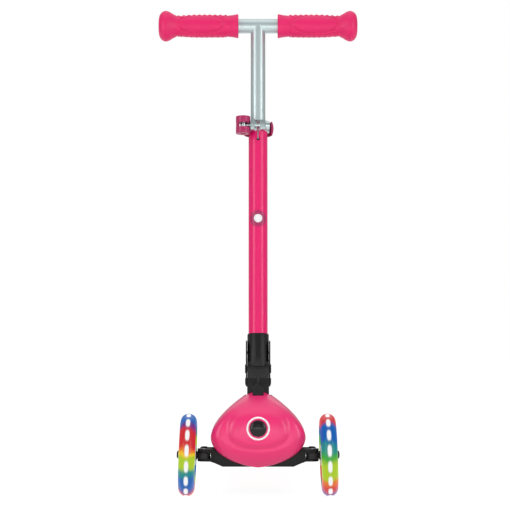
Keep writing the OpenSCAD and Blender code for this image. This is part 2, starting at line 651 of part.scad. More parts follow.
module hinge_bolts() color(steel) on_bar() {
  translate([0, 0, fold_t]) rod_x(pivot_r, 2 * (plate_x + plate_t) + 1);
  for (y = plate_bolts()) translate([0, y, plate_bolt_t]) rod_x(2.5, 2 * (plate_x + plate_t) + 1);
  for (s = [-1, 1]) {
    translate([s * (plate_x + plate_t + 0.6), 0, fold_t]) rod_x(6.5, 1.2);
    for (y = plate_bolts()) translate([s * (plate_x + plate_t + 0.5), y, plate_bolt_t]) rod_x(4, 1);
  }
}

// ---- T-bar ----
module bar_sleeve() color(black) on_bar() difference() {
  union() {
    translate([0, 0, fold_t]) rod_x(knuckle_r, 2 * sleeve_r - 0.4);
    intersection() {
      translate([0, 0, fold_t + 2]) cylinder(r = sleeve_r, h = sleeve_top_t - fold_t - 3.5);
      translate([-sleeve_r + 0.2, -30, 0]) cube([2 * sleeve_r - 0.4, 60, 200]);
    }
    translate([0, 0, sleeve_top_t - 1.6]) cylinder(r1 = sleeve_r - 0.2, r2 = sleeve_r - 1, h = 1.6);
    // front rib
    translate([-3.2, -sleeve_r - 0.5, fold_t + 2]) cube([6.4, 4, 16]);
  }
  translate([0, 0, tube_foot_t]) cylinder(r = outer_r, h = 60);
  translate([0, 0, fold_t]) rod_x(pivot_r + run_gap, 60);
  // slot for the lock pin, and the well of its spring
  for (d = [0, lock_travel]) translate([0, 0, fold_t + slot_r - d]) rod_x(lock_pin_r + 0.3, 60);
  translate([-30, -lock_pin_r - 0.3, fold_t + slot_r - lock_travel]) cube([60, 2 * lock_pin_r + 0.6, lock_travel]);
  translate([0, 0, fold_t + slot_r]) cylinder(r = 5, h = 30);
  // opening behind, for the slider's link
  translate([-3.3, 0, fold_t + slot_r - lock_travel - 2.8]) cube([6.6, 40, lock_travel + 5.6]);
}

module fold_spring() color(steel) on_bar() translate([0, 0, fold_t + slot_r + lock_pin_r + 0.4])
  coil(3.6, 0.6, 3, tube_foot_t + 4 - (fold_t + slot_r + lock_pin_r + 0.4) - 0.5);

module fold_lock_pin() color(steel) on_bar() translate([0, 0, fold_t + slot_r])
  rod_x(lock_pin_r, 2 * (plate_x + plate_t) - 0.2);

module fold_slider() color(dark_pink) on_bar() difference() {
  union() {
    translate([-3, 0, fold_t + slot_r - lock_pin_r]) cube([6, sleeve_r + 1.5, 2 * lock_pin_r]);
    translate([-8, sleeve_r + 0.4, fold_t + slot_r - lock_pin_r]) cube([16, 2.6, 22]);
    translate([-8, sleeve_r + 1, fold_t + slot_r + 13]) cube([16, 6, 3]);
  }
  translate([0, 0, fold_t + slot_r]) rod_x(lock_pin_r, 60);
  translate([0, 0, fold_t + slot_r - 5]) cylinder(r = lock_pin_r - 0.3, h = 1);
}

module outer_tube() color(pink) on_bar() difference() {
  translate([0, 0, tube_foot_t]) ring(outer_r, outer_in_r, outer_top_t - tube_foot_t);
  // keyhole slot that lets the clamp squeeze the tube
  translate([-0.9, -30, outer_top_t - keyhole_l]) cube([1.8, 30, keyhole_l + 1]);
  translate([0, 0, outer_top_t - keyhole_l]) rod_y(2.4, -30, 0);
  translate([0, 0, guide_t]) rod_y(guide_pin_r, -30, 0);
}

module shim_bush() color(black) on_bar() difference() {
  union() {
    translate([0, 0, outer_top_t - bush_l]) cylinder(r = outer_in_r - 0.02, h = bush_l + 1);
    translate([0, 0, outer_top_t + 0.02]) cylinder(r = outer_r + 0.8, h = 1.4);
  }
  translate([0, 0, outer_top_t - bush_l - 1]) cylinder(r = stem_r + run_gap, h = bush_l + 10);
  translate([-0.9, -30, outer_top_t - keyhole_l]) cube([1.8, 30, keyhole_l + 5]);
}

// The cap screw that runs in the stem's slot, so the bar can't turn or come out
module guide_cap() color(white) on_bar() translate([0, 0, guide_t]) {
  rod_y(guide_pin_r - 0.05, -outer_r - 0.5, -stem_r + 1.4);
  translate([0, -outer_r - 2.2, 0]) rotate([-90, 0, 0]) cylinder(r1 = 5.4, r2 = 6.4, h = 1);
  rod_y(6.4, -outer_r - 1.2 - eps, -outer_r - 0.7);
  intersection() {
    rod_y(6.4, -outer_r - 1, -outer_r + 3);
    translate([0, 0, -10]) ring(outer_r + 1.2, outer_r + 0.02, 20);
  }
}
module guide_ring() color(dark_pink) on_bar() translate([0, 0, guide_t]) intersection() {
  translate([0, 0, -20]) ring(outer_r + 0.8, outer_r + 0.02, 40);
  translate([0, -30, 0]) rotate([-90, 0, 0]) ring(12.3, 6.7, 30);
}

// ---- clamp ----
module clamp_collar() color(silver) on_bar() difference() {
  union() {
    translate([0, 0, collar_t]) cylinder(r = collar_r, h = collar_h);
    translate([-11.3, -lug_front, collar_t]) cube([5.9, lug_front - 8, collar_h]);
    translate([3.5, -lug_front, collar_t]) cube([7.5, lug_front - 8, collar_h]);
  }
  translate([0, 0, collar_t - 1]) cylinder(r = outer_r, h = collar_h + 2);
  translate([-2, -40, collar_t - 1]) cube([4, 40, collar_h + 2]);
  translate([0, bolt_y, bolt_mid_t]) rod_x(2.6, 60);
}
module clamp_bolt() color(silver) on_bar() {
  translate([(17.4 + cam_x) / 2, bolt_y, bolt_mid_t]) rod_x(2.3, 17.4 - cam_x);
  difference() {
    union() {
      translate([11.3, bolt_y, bolt_mid_t]) rotate([0, 90, 0]) cylinder(r = 7.4, h = 2);
      translate([13.3 - eps, bolt_y, bolt_mid_t]) rotate([0, 90, 0]) cylinder(r = 6.2, h = 4.1);
    }
    translate([14.4, bolt_y, bolt_mid_t]) rotate([0, 90, 0]) cylinder(r = 3.6, h = 6, $fn = 6);
  }
  translate([cam_x, bolt_y, bolt_mid_t - 10.5]) cylinder(r = barrel_r, h = 21);
}
module clamp_lever() color(dark_pink) on_bar() difference() {
  union() {
    translate([cam_x, bolt_y, bolt_mid_t - lever_h / 2]) cylinder(r = cam_r, h = lever_h);
    // the band that wraps round the back of the collar
    rotate([0, 0, 10]) rotate_extrude(angle = 206) translate([0, bolt_mid_t])
      polygon(concat(arc(lever_out_r - 26.5, 0, 26.5, -24, 24, 8), [[lever_in_r, 10.78], [lever_in_r, -10.78]]));
  }
  translate([cam_x, bolt_y, bolt_mid_t - 20]) cylinder(r = barrel_r + run_gap, h = 40);
  // slot for the bolt, wide enough for the lever's swing
  translate([cam_x - 15, bolt_y - 15, bolt_mid_t - 3.6]) cube([30, 30, 7.2]);
  translate([0, 0, bolt_mid_t - 20]) cylinder(r = lever_in_r - 0.5, h = 40);
}

// ---- sliding stem ----
module stem_tube() color(silver) on_bar() difference() {
  translate([0, 0, stem_foot_t]) ring(stem_r, stem_r - stem_wall, crossbar_t - stem_foot_t);
  translate([0, 0, crossbar_t]) rod_x(stem_r, 100);
  // slot for the guide screw
  for (t = slot_ends()) translate([0, 0, t]) rod_y(guide_pin_r + 0.25, -30, 0);
  translate([-guide_pin_r - 0.25, -30, slot_ends()[0]])
    cube([2 * guide_pin_r + 0.5, 30, slot_ends()[1] - slot_ends()[0]]);
}
function slot_ends() = [guide_t - raise_travel, guide_t + sink_travel];
module crossbar() color(silver) on_bar() translate([0, 0, crossbar_t])
  ring_x(stem_r, stem_r - stem_wall, -bar_width / 2 + 6, bar_width / 2 - 6);
module stem_plug() color(black) on_bar() difference() {
  union() {
    translate([0, 0, stem_foot_t - 6]) cylinder(r = outer_in_r - run_gap, h = 6);
    translate([0, 0, stem_foot_t - 1]) cylinder(r = stem_r - stem_wall - 0.02, h = 11);
  }
  translate([0, 0, stem_foot_t - 10]) cylinder(r = 5, h = 30);
}

// Grip profile as [radius, distance from the outer end]
function grip_profile() = let (s = hand_stop_d / 2, g = grip_d / 2) [
  [0, 0], [0.42 * s, 0.4], [0.70 * s, 2.2], [0.88 * s, 5], [0.97 * s, 8], [s, 11], [0.975 * s, 14],
  [0.90 * s, 18], [g + 3.2, 22], [g + 1.3, 26.5], [g, 31], [g + 0.9, 42], [g + 1.7, 56], [g + 1.8, 72],
  [g + 1.6, grip_l - 28], [g + 1.2, grip_l - 14], [g + 1.8, grip_l - 7], [g + 2.9, grip_l - 2], [g + 2.6, grip_l],
  [0, grip_l]];
module grip(side) color(grip_pink) on_bar() translate([side * bar_width / 2, 0, crossbar_t]) difference() {
  rotate([0, -side * 90, 0]) rotate_extrude() polygon(grip_profile());
  rotate([0, -side * 90, 0]) translate([0, 0, 6]) cylinder(r = stem_r + 0.02, h = grip_l);
}

// ---- steering lock ----
plunger_r = 2;
button_flange_y = nose_face_y + 8;
module lock_button() {
  r = button_d / 2;
  dome_r = 22;
  rim_y = nose_face_y - 1.5;
  dome_y = rim_y + sqrt(dome_r * dome_r - r * r);
  dome_a = asin(r / dome_r);
  color(black) from_axle() translate([0, 0, button_z]) rotate([-90, 0, 0]) difference() {
    rotate_extrude() polygon(concat(
      [for (i = [0:8]) [dome_r * sin(dome_a * i / 8), dome_y - dome_r * cos(dome_a * i / 8)]],
      [[r, button_flange_y - 2], [r + 1.6, button_flange_y - 2], [r + 1.6, button_flange_y], [0, button_flange_y]]));
    translate([0, 0, button_flange_y - 5]) cylinder(r = plunger_r + 0.02, h = 6);
  }
}
plunger_tip_y = lever_front_y - 2;
module lock_plunger() color(steel) from_axle() translate([0, 0, button_z])
  rod_y(plunger_r, button_flange_y - 5, plunger_tip_y);
module button_spring() color(steel) from_axle()
  translate([0, button_flange_y + 0.3, button_z]) rotate([-90, 0, 0])
    coil(5, 0.7, 7, mount_front_y - button_flange_y - 0.6);

// ---- rear end ----
module rear_fork() color(black) from_axle() difference() {
  union() {
    for (s = [-1, 1]) translate([s > 0 ? fork_arm_in : -fork_arm_in - fork_arm_t, 0, 0]) {
      rotate([90, 0, 90]) linear_extrude(fork_arm_t) polygon([
        [fork_front_y, fork_base_z], [fork_front_y, fork_base_z + 6], [brake_y - 12, fork_base_z + 6],
        [brake_y - 6, brake_z + 5], [brake_y + 6, brake_z + 4], [wheel_base - 8, rear_r + 9],
        [wheel_base, rear_r], [wheel_base - 5, rear_r - 10], [brake_y - 12, fork_base_z - 12],
        [fork_front_y + 30, fork_base_z - 4]]);
      translate([0, wheel_base, rear_r]) rotate([0, 90, 0]) cylinder(r = 11, h = fork_arm_t);
    }
    translate([-fork_arm_in - 1, fork_front_y, fork_base_z]) cube([2 * fork_arm_in + 2, 56, 6]);
  }
  translate([0, wheel_base, rear_r]) rod_x(axle_r + run_gap, 100);
  translate([0, brake_y, brake_z]) rod_x(2.5, 100);
  for (p = fork_screws()) translate([p[0], p[1], 0]) cylinder(r = 3.2, h = 100);
}
module rear_axle() color(steel) from_axle() translate([0, wheel_base, rear_r]) {
  rod_x(axle_r - run_gap, 2 * (fork_arm_in + fork_arm_t) + 2);
  for (s = [-1, 1]) {
    translate([s * (fork_arm_in + fork_arm_t + 2), 0, 0]) rod_x(6.5, 4);
    translate([s * (rear_tyre_w / 2 + (fork_arm_in - rear_tyre_w / 2) / 2 + part_gap / 2), 0, 0])
      ring_x(6.3, axle_r - run_gap - eps, -(fork_arm_in - rear_tyre_w / 2 - part_gap) / 2, (fork_arm_in - rear_tyre_w / 2 - part_gap) / 2);
  }
}
module brake_pin() color(steel) from_axle() translate([0, brake_y, brake_z]) {
  rod_x(2.5, 2 * (fork_arm_in + fork_arm_t) + 1);
  for (s = [-1, 1]) translate([s * (fork_arm_in + fork_arm_t + 0.8), 0, 0]) rod_x(4.5, 1.6);
}
module rear_tyre() color(white) from_axle() translate([0, wheel_base, rear_r]) difference() {
  turned_x([for (p = rear_profile()) p]);
  ring_x(rear_rim_r, 1, -30, 30);
}
function rear_profile() = let (h = rear_tyre_w / 2) concat(
  [[rear_rim_r - 1, -h]], arc(rear_r - 7, 7 - h, 7, -90, 0, 8), arc(rear_r - 7, h - 7, 7, 0, 90, 8),
  [[rear_rim_r - 1, h]]);
module rear_rim() color(white) from_axle() translate([0, wheel_base, rear_r]) difference() {
  union() {
    ring_x(rear_rim_r, rear_rim_r - 3, -12, 12);
    ring_x(rear_rim_r - 2, hub_r - 1, -2.5, 2.5);
    ring_x(hub_r, hub_bore_r, -rear_tyre_w / 2, rear_tyre_w / 2);
  }
  for (s = [-1, 1]) translate([s * (rear_tyre_w / 2 - bearing_w / 2 + 1), 0, 0])
    rod_x(bearing_r + bearing_seat, bearing_w + 2);
  for (a = [30:60:330]) rotate([a, 0, 0]) translate([0, 0, 20.8]) rod_x(3.6, 20);
}
module rear_bearings() color(steel) from_axle() translate([0, wheel_base, rear_r]) bearing_pair(rear_tyre_w / 2);

// Angles about the rear axle, from straight up, positive to the rear
fender_front_a = -46;
fender_rear_a = 48;
module fender_arc(r_in, r_out, half_w, from, to)
  translate([0, wheel_base, rear_r]) rotate([-from, 0, 0]) rotate([0, -90, 0])
    rotate_extrude(angle = to - from)
      translate([0, -half_w]) polygon([[r_in, 0], [r_out, 0], [r_out, 2 * half_w], [r_in, 2 * half_w]]);
module brake_fender() color(black) from_axle() difference() {
  union() {
    fender_arc(fender_in_r, fender_in_r + fender_t, fender_half_w, fender_front_a, fender_rear_a);
    for (s = [-1, 1]) translate([s * (fender_half_w - 1.1), 0, 0])
      fender_arc(fender_in_r - 5, fender_in_r + 1.5, 1, fender_front_a + 14, fender_rear_a - 1);
    // hinge barrel and the plate that joins it to the arc
    translate([0, brake_y, brake_z]) rod_x(5, 2 * fender_half_w - 0.6);
    translate([-fender_half_w + 1, 0, 0]) rotate([90, 0, 90]) linear_extrude(2 * fender_half_w - 2)
      polygon([[brake_y - 2, brake_z + 3.4], [brake_y + 3, brake_z - 2], [fender_foot()[0] + 2.2, fender_foot()[1] - 1],
        [fender_foot()[0] + 2.4, fender_foot()[1] + 2.6]]);
    // tread ribs under the heel
    for (a = [-20:8:20]) translate([0, wheel_base, rear_r]) rotate([-a, 0, 0])
      translate([-fender_half_w + 3, -1.2, fender_in_r + fender_t - 1]) cube([2 * fender_half_w - 6, 2.4, 2]);
  }
  translate([0, brake_y, brake_z]) rod_x(2.5 + run_gap, 100);
  // pocket of the return spring
  translate([0, brake_y, brake_z]) cube([13.6, 11.4, 11.4], center = true);
}
function fender_foot() = let (r = fender_in_r + fender_t / 2)
  [wheel_base + r * sin(fender_front_a), rear_r + r * cos(fender_front_a)];
module brake_pad() color(steel) from_axle()
  fender_arc(fender_in_r - 3, fender_in_r - 0.02, 9, -14, 16);
module brake_spring() color(steel) from_axle()
  translate([-6.2, brake_y, brake_z]) rotate([0, 90, 0]) coil(3.7, 0.6, 5, 12.4);

deck_board();
deck_mat();
front_beam();
column_mount();
nose_cover();
neck_cover();
button_ring();
lean_shaft();
king_pins();
deck_screws();
rear_fork();
rear_axle();
brake_pin();
brake_spring();
button_spring();
centring_bumpers();
lean_block();
steering_lever();
hinge_plate(1);  // hinge_plate_left
hinge_plate(-1);  // hinge_plate_right
hinge_bolts();
lean_bushes();
bar_sleeve();
outer_tube();
shim_bush();
clamp_collar();
clamp_bolt();
guide_cap();
guide_ring();
fold_spring();
fold_lock_pin();
fold_slider();
clamp_lever();
stem_tube();
crossbar();
grip(1);  // grip_left
grip(-1);  // grip_right
stem_plug();
tie_rod();
knuckle(1);  // knuckle_left
knuckle(-1);  // knuckle_right
axle_nut(1);  // axle_nut_left
axle_nut(-1);  // axle_nut_right
magnet(1);  // magnet_left
magnet(-1);  // magnet_right
front_tyre(1);  // front_tyre_left
front_tyre(-1);  // front_tyre_right
front_rim(1);  // front_rim_left
front_rim(-1);  // front_rim_right
light_ring(1);  // light_ring_left
light_ring(-1);  // light_ring_right
front_bearings(1);  // front_bearings_left
front_bearings(-1);  // front_bearings_right
rear_tyre();
rear_rim();
rear_bearings();
lock_button();
lock_plunger();
brake_fender();
brake_pad();
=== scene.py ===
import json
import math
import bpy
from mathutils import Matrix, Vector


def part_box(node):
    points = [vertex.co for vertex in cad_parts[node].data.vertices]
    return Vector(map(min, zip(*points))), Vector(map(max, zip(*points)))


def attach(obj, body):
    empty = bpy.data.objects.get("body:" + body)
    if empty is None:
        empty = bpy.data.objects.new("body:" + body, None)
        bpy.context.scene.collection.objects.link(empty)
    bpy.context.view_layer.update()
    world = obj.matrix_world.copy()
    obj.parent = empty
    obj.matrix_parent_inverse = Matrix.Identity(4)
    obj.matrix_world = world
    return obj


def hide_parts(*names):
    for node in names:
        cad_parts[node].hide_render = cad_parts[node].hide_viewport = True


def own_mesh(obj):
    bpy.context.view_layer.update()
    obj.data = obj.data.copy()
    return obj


bl_info = {
    "name": "Kick scooter",
    "version": (1, 0, 0),
    "blender": (4, 5, 0),
    "location": "3D View > Sidebar > Scooter",
    "description": "Dresses a three-wheeled lean-to-steer kick scooter with its grips, covers, wheels and finishes",
    "category": "Object",
}

import bmesh
import bpy
from mathutils import Matrix, Vector

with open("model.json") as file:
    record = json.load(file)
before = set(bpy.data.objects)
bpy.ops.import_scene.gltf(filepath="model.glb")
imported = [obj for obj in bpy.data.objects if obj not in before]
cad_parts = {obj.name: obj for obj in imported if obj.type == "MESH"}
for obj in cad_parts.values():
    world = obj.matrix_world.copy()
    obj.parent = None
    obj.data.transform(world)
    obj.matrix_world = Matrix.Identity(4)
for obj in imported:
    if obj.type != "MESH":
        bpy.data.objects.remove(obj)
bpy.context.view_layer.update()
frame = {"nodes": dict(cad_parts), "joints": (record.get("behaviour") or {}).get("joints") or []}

MM = 0.001
joints = {j["name"]: j for j in frame["joints"]}


def middle(node):
    low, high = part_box(node)
    return (low + high) / 2


# Places that the pieces share, in metres
BAR_WAY = Vector(joints["height_slide"]["axis"]).normalized()
FOLD_PLACE = Vector(joints["fold"]["pos_m"])
BAR_SLOPE = math.atan2(BAR_WAY.y, BAR_WAY.z)
BAR_FOOT = FOLD_PLACE - BAR_WAY * 0.030
BAR = Matrix.Translation(BAR_FOOT) @ Matrix.Rotation(-BAR_SLOPE, 4, "X")
AXLE_Y = joints["left_wheel_spin"]["pos_m"][1]
CROSSBAR_UP = (middle("crossbar") - BAR_FOOT).dot(BAR_WAY)
BUTTON_Z = middle("lock_button").z
REAR_AXLE = Vector(joints["back_wheel_spin"]["pos_m"])


# ---------------------------------------------------------------- settings


def colour(name, description, value):
    return bpy.props.FloatVectorProperty(
        name=name, description=description, subtype="COLOR_GAMMA", size=3, min=0, max=1, default=value
    )


def length(name, description, value, low=0.0, high=1.0):
    return bpy.props.FloatProperty(
        name=name, description=description, default=value, min=low, max=high, unit="LENGTH", precision=4
    )


class ScooterColours(bpy.types.PropertyGroup):
    """Colours of the scooter's finishes"""

    cover_pink: colour("Covers and deck", "Moulded pink plastic", (0.935, 0.130, 0.445))
    tube_pink: colour("Lower tube", "Gloss pink powder coat", (0.915, 0.035, 0.415))
    grip_pink: colour("Grips", "Pink grip rubber", (0.905, 0.050, 0.400))
    lever_pink: colour("Clamp lever", "Deep pink moulded plastic", (0.690, 0.130, 0.370))
    plastic_black: colour("Black plastic", "Fine-grained black moulding", (0.060, 0.060, 0.064))
    metal_black: colour("Black metal", "Satin black powder coat", (0.050, 0.050, 0.054))
    bar_silver: colour("Stem and crossbar", "Satin anodised aluminium", (0.760, 0.815, 0.820))
    steel: colour("Steel", "Zinc-plated steel", (0.720, 0.730, 0.740))
    white: colour("White plastic", "Smooth white moulding", (0.960, 0.955, 0.960))
    mat_black: colour("Deck mat", "Matt black rubber", (0.130, 0.130, 0.135))


class GripLook(bpy.types.PropertyGroup):
    """Shape of the rubber grips"""

    pad_length: length("Pad length", "Length of the smooth oval pad", 0.068)
    pad_half_angle: bpy.props.FloatProperty(
        name="Pad half angle",
        description="How far the pad reaches round the grip",
        default=math.radians(58),
        subtype="ANGLE",
    )
    pad_place: length("Pad place", "Distance of the pad's middle from the outer end", 0.065)
    groove: length("Groove", "Depth of the groove round the pad", 0.0017)
    nub_pitch: length("Nub pitch", "Distance from nub to nub along the grip", 0.0080)
    nub_size: length("Nub size", "Diameter of a nub", 0.0048)
    nub_height: length("Nub height", "How far a nub stands out", 0.0013)


class CoverLook(bpy.types.PropertyGroup):
    """Shape of the nose and neck covers"""

    wall: length("Wall", "Thickness of the moulded covers", 0.0026)
    plateau_half_width: length("Plateau half width", "Half the width of the raised face round the button", 0.046)
    crease: length("Crease", "Depth of the soft crease round the raised face", 0.0026)
    seam: length("Seam", "Gap between the two covers", 0.0004)


class DeckLook(bpy.types.PropertyGroup):
    """Shape of the footboard"""

    edge_round: length("Edge round", "Radius of the footboard's top edge", 0.0040)


class WheelLook(bpy.types.PropertyGroup):
    """Look of the light-up front wheels"""

    lamp_count: bpy.props.IntProperty(
        name="Lamps", description="Lamps round each front wheel", default=16, min=4, max=40
    )
    lamp_length: length("Lamp length", "Length of a lit spot along the tyre", 0.0150)
    lamp_width: length("Lamp width", "Width of a lit spot", 0.0054)
    glow: bpy.props.FloatProperty(
        name="Glow", description="Strength of the light from the tyres", default=0.85, min=0, max=5
    )


class StudioLook(bpy.types.PropertyGroup):
    """Camera and lights"""

    distance: length("Camera distance", "From the camera to the front axle", 3.0, 0.5, 10.0)
    height: length("Camera height", "Height of the camera above the floor", 0.354)
    side: bpy.props.FloatProperty(
        name="Camera side", description="Sideways place of the camera", default=-0.0046, unit="LENGTH"
    )
    lens: bpy.props.FloatProperty(
        name="Lens", description="Focal length in millimetres", default=144.2, min=20, max=300
    )


# ---------------------------------------------------------------- mesh tools


def finish_mesh(mesh, crease_angle=35.0):
    for face in mesh.polygons:
        face.use_smooth = True
    mesh.set_sharp_from_angle(angle=math.radians(crease_angle))


def add_piece(name, mesh, body, materials, replaces=(), crease_angle=35.0):
    """Puts a finished mesh into the scene, riding on one of the CAD bodies"""
    finish_mesh(mesh, crease_angle)
    mesh.name = name
    piece = bpy.data.objects.new(name, mesh)
    bpy.context.scene.collection.objects.link(piece)
    mesh.materials.clear()
    for material in materials if isinstance(materials, (list, tuple)) else [materials]:
        mesh.materials.append(material)
    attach(piece, body)
    if replaces:
        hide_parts(*replaces)
    return piece


def mesh_from(points, faces, place=None, outwards=False):
    mesh = bpy.data.meshes.new("shape")
    mesh.from_pydata([tuple(p) for p in points], [], faces)
    if place is not None:
        mesh.transform(place)
    if outwards:
        shape = bmesh.new()
        shape.from_mesh(mesh)
        bmesh.ops.remove_doubles(shape, verts=shape.verts, dist=1e-6)
        bmesh.ops.recalc_face_normals(shape, faces=shape.faces)
        shape.to_mesh(mesh)
        shape.free()
    mesh.validate()
    return mesh


def turned(profile, place, segments=96):
    """A closed turned shape: profile is [radius, along] in millimetres about the local Z axis"""
    points, faces = [], []
    rows = len(profile)
    for i in range(segments):
        angle = 2 * math.pi * i / segments
        for r, along in profile:
            points.append((r * MM * math.cos(angle), r * MM * math.sin(angle), along * MM))
    for i in range(segments):
        k = (i + 1) % segments
        for j in range(rows):
            m = (j + 1) % rows
            if profile[j][0] < 1e-6 and profile[m][0] < 1e-6:
                continue
            faces.append((i * rows + j, k * rows + j, k * rows + m, i * rows + m))
    mesh = bpy.data.meshes.new("turned")
    mesh.from_pydata(points, [], faces)
    shape = bmesh.new()
    shape.from_mesh(mesh)
    bmesh.ops.remove_doubles(shape, verts=shape.verts, dist=1e-7)
    bmesh.ops.recalc_face_normals(shape, faces=shape.faces)
    shape.to_mesh(mesh)
    shape.free()
    mesh.transform(place)
    return mesh


def merged(meshes):
    """One mesh of several"""
    shape = bmesh.new()
    for mesh in meshes:
        shape.from_mesh(mesh)
    joined = bpy.data.meshes.new("merged")
    shape.to_mesh(joined)
    shape.free()
    return joined


def rounded_copy(nodes, width, segments=2, angle=32.0, pick=None):
    """A copy of CAD nodes with their sharp edges rounded. width is in millimetres"""
    shape = bmesh.new()
    for node in [nodes] if isinstance(nodes, str) else nodes:
        shape.from_mesh(frame["nodes"][node].data)
    bmesh.ops.remove_doubles(shape, verts=shape.verts, dist=2e-6)
    bmesh.ops.dissolve_limit(
        shape, angle_limit=math.radians(0.4), verts=shape.verts, edges=shape.edges, use_dissolve_boundaries=False
    )
    edges = [
        e
        for e in shape.edges
        if len(e.link_faces) == 2 and e.calc_face_angle(0) > math.radians(angle) and (pick is None or pick(e))
    ]
    if edges and width > 0:
        bmesh.ops.bevel(
            shape, geom=edges, offset=width * MM, segments=segments, profile=0.5, affect="EDGES", clamp_overlap=True
        )
    mesh = bpy.data.meshes.new("rounded")
    shape.to_mesh(mesh)
    shape.free()
    return mesh


def along(axis, origin):
    """Placement whose local Z runs along axis from origin"""
    return Matrix.Translation(Vector(origin)) @ Vector(axis).to_track_quat("Z", "Y").to_matrix().to_4x4()


def smooth_line(knots, count):
    """Catmull-Rom points through the knots"""
    line = []
    last = len(knots) - 1
    for i in range(count + 1):
        t = i / count * last
        k = min(int(t), last - 1)
        u = t - k
        p0, p1, p2, p3 = (knots[max(0, min(last, k + d))] for d in (-1, 0, 1, 2))
        line.append(
            tuple(
                0.5 * (2 * b + (c - a) * u + (2 * a - 5 * b + 4 * c - d) * u * u + (3 * b - a - 3 * c + d) * u ** 3)
                for a, b, c, d in zip(p0, p1, p2, p3)
            )
        )
    return line


def radius_at(line, l):
    """Radius of a turned outline, given as (radius, along) points, at one place along it"""
    for (r1, l1), (r2, l2) in zip(line, line[1:]):
        if l1 <= l <= l2 and l2 > l1:
            return r1 + (r2 - r1) * (l - l1) / (l2 - l1)
    raise ValueError("that place is beyond the outline")


# ---------------------------------------------------------------- node trees that repeat a shape


def socket(tree, name, kind, value=None):
    made = tree.interface.new_socket(name=name, in_out="INPUT", socket_type=kind)
    if value is not None:
        made.default_value = value
    return made


def repeat_tree():
    """Sets one shape on every point, turned to the point's facing"""
    name = "repeat on points"
    if name in bpy.data.node_groups:
        return bpy.data.node_groups[name]
    tree = bpy.data.node_groups.new(name, "GeometryNodeTree")
    socket(tree, "Places", "NodeSocketGeometry")
    socket(tree, "Shape", "NodeSocketObject")
    socket(tree, "Size", "NodeSocketFloat", 1.0)
    socket(tree, "Finish", "NodeSocketMaterial")
    tree.interface.new_socket(name="Geometry", in_out="OUTPUT", socket_type="NodeSocketGeometry")
    n, link = tree.nodes, tree.links.new
    given, result = n.new("NodeGroupInput"), n.new("NodeGroupOutput")
    shape = n.new("GeometryNodeObjectInfo")
    facing = n.new("GeometryNodeInputNamedAttribute")
    facing.data_type = "FLOAT_VECTOR"
    facing.inputs["Name"].default_value = "facing"
    side = n.new("GeometryNodeInputNamedAttribute")
    side.data_type = "FLOAT_VECTOR"
    side.inputs["Name"].default_value = "side"
    turn = n.new("FunctionNodeAlignRotationToVector")
    turn.axis = "Z"
    turn_side = n.new("FunctionNodeAlignRotationToVector")
    turn_side.axis = "X"
    turn_side.pivot_axis = "Z"
    place = n.new("GeometryNodeInstanceOnPoints")
    real = n.new("GeometryNodeRealizeInstances")
    finish = n.new("GeometryNodeSetMaterial")
    link(given.outputs["Shape"], shape.inputs["Object"])
    link(facing.outputs["Attribute"], turn.inputs["Vector"])
    link(turn.outputs["Rotation"], turn_side.inputs["Rotation"])
    link(side.outputs["Attribute"], turn_side.inputs["Vector"])
    link(given.outputs["Places"], place.inputs["Points"])
    link(shape.outputs["Geometry"], place.inputs["Instance"])
    link(turn_side.outputs["Rotation"], place.inputs["Rotation"])
    link(given.outputs["Size"], place.inputs["Scale"])
    link(place.outputs["Instances"], real.inputs["Geometry"])
    link(real.outputs["Geometry"], finish.inputs["Geometry"])
    link(given.outputs["Finish"], finish.inputs["Material"])
    link(finish.outputs["Geometry"], result.inputs["Geometry"])
    return tree


def spring_tree():
    """A round wire wound on a helix"""
    name = "wound wire"
    if name in bpy.data.node_groups:
        return bpy.data.node_groups[name]
    tree = bpy.data.node_groups.new(name, "GeometryNodeTree")
    socket(tree, "Geometry", "NodeSocketGeometry")
    for label, value in (("Turns", 5.0), ("Radius", 0.005), ("Length", 0.02), ("Wire", 0.0006)):
        socket(tree, label, "NodeSocketFloat", value)
    socket(tree, "Finish", "NodeSocketMaterial")
    tree.interface.new_socket(name="Geometry", in_out="OUTPUT", socket_type="NodeSocketGeometry")
    n, link = tree.nodes, tree.links.new
    given, result = n.new("NodeGroupInput"), n.new("NodeGroupOutput")
    helix = n.new("GeometryNodeCurveSpiral")
    helix.inputs["Resolution"].default_value = 24
    section = n.new("GeometryNodeCurvePrimitiveCircle")
    section.inputs["Resolution"].default_value = 10
    wire = n.new("GeometryNodeCurveToMesh")
    wire.inputs["Fill Caps"].default_value = True
    finish = n.new("GeometryNodeSetMaterial")
    link(given.outputs["Turns"], helix.inputs["Rotations"])
    link(given.outputs["Radius"], helix.inputs["Start Radius"])
    link(given.outputs["Radius"], helix.inputs["End Radius"])
    link(given.outputs["Length"], helix.inputs["Height"])
    link(given.outputs["Wire"], section.inputs["Radius"])
    link(helix.outputs["Curve"], wire.inputs["Curve"])
    link(section.outputs["Curve"], wire.inputs["Profile Curve"])
    link(wire.outputs["Mesh"], finish.inputs["Geometry"])
    link(given.outputs["Finish"], finish.inputs["Material"])
    link(finish.outputs["Geometry"], result.inputs["Geometry"])
    return tree


def grow(base_mesh, tree, values):
    """Runs a node tree on a mesh and returns the plain mesh that comes out"""
    carrier = bpy.data.objects.new("carrier", base_mesh)
    bpy.context.scene.collection.objects.link(carrier)
    modifier = carrier.modifiers.new("grow", "NODES")
    modifier.node_group = tree
    for item in tree.interface.items_tree:
        if item.item_type == "SOCKET" and item.in_out == "INPUT" and item.name in values:
            modifier[item.identifier] = values[item.name]
    bpy.context.view_layer.update()
    grown = bpy.data.meshes.new_from_object(carrier.evaluated_get(bpy.context.evaluated_depsgraph_get()))
    bpy.data.objects.remove(carrier)
    return grown


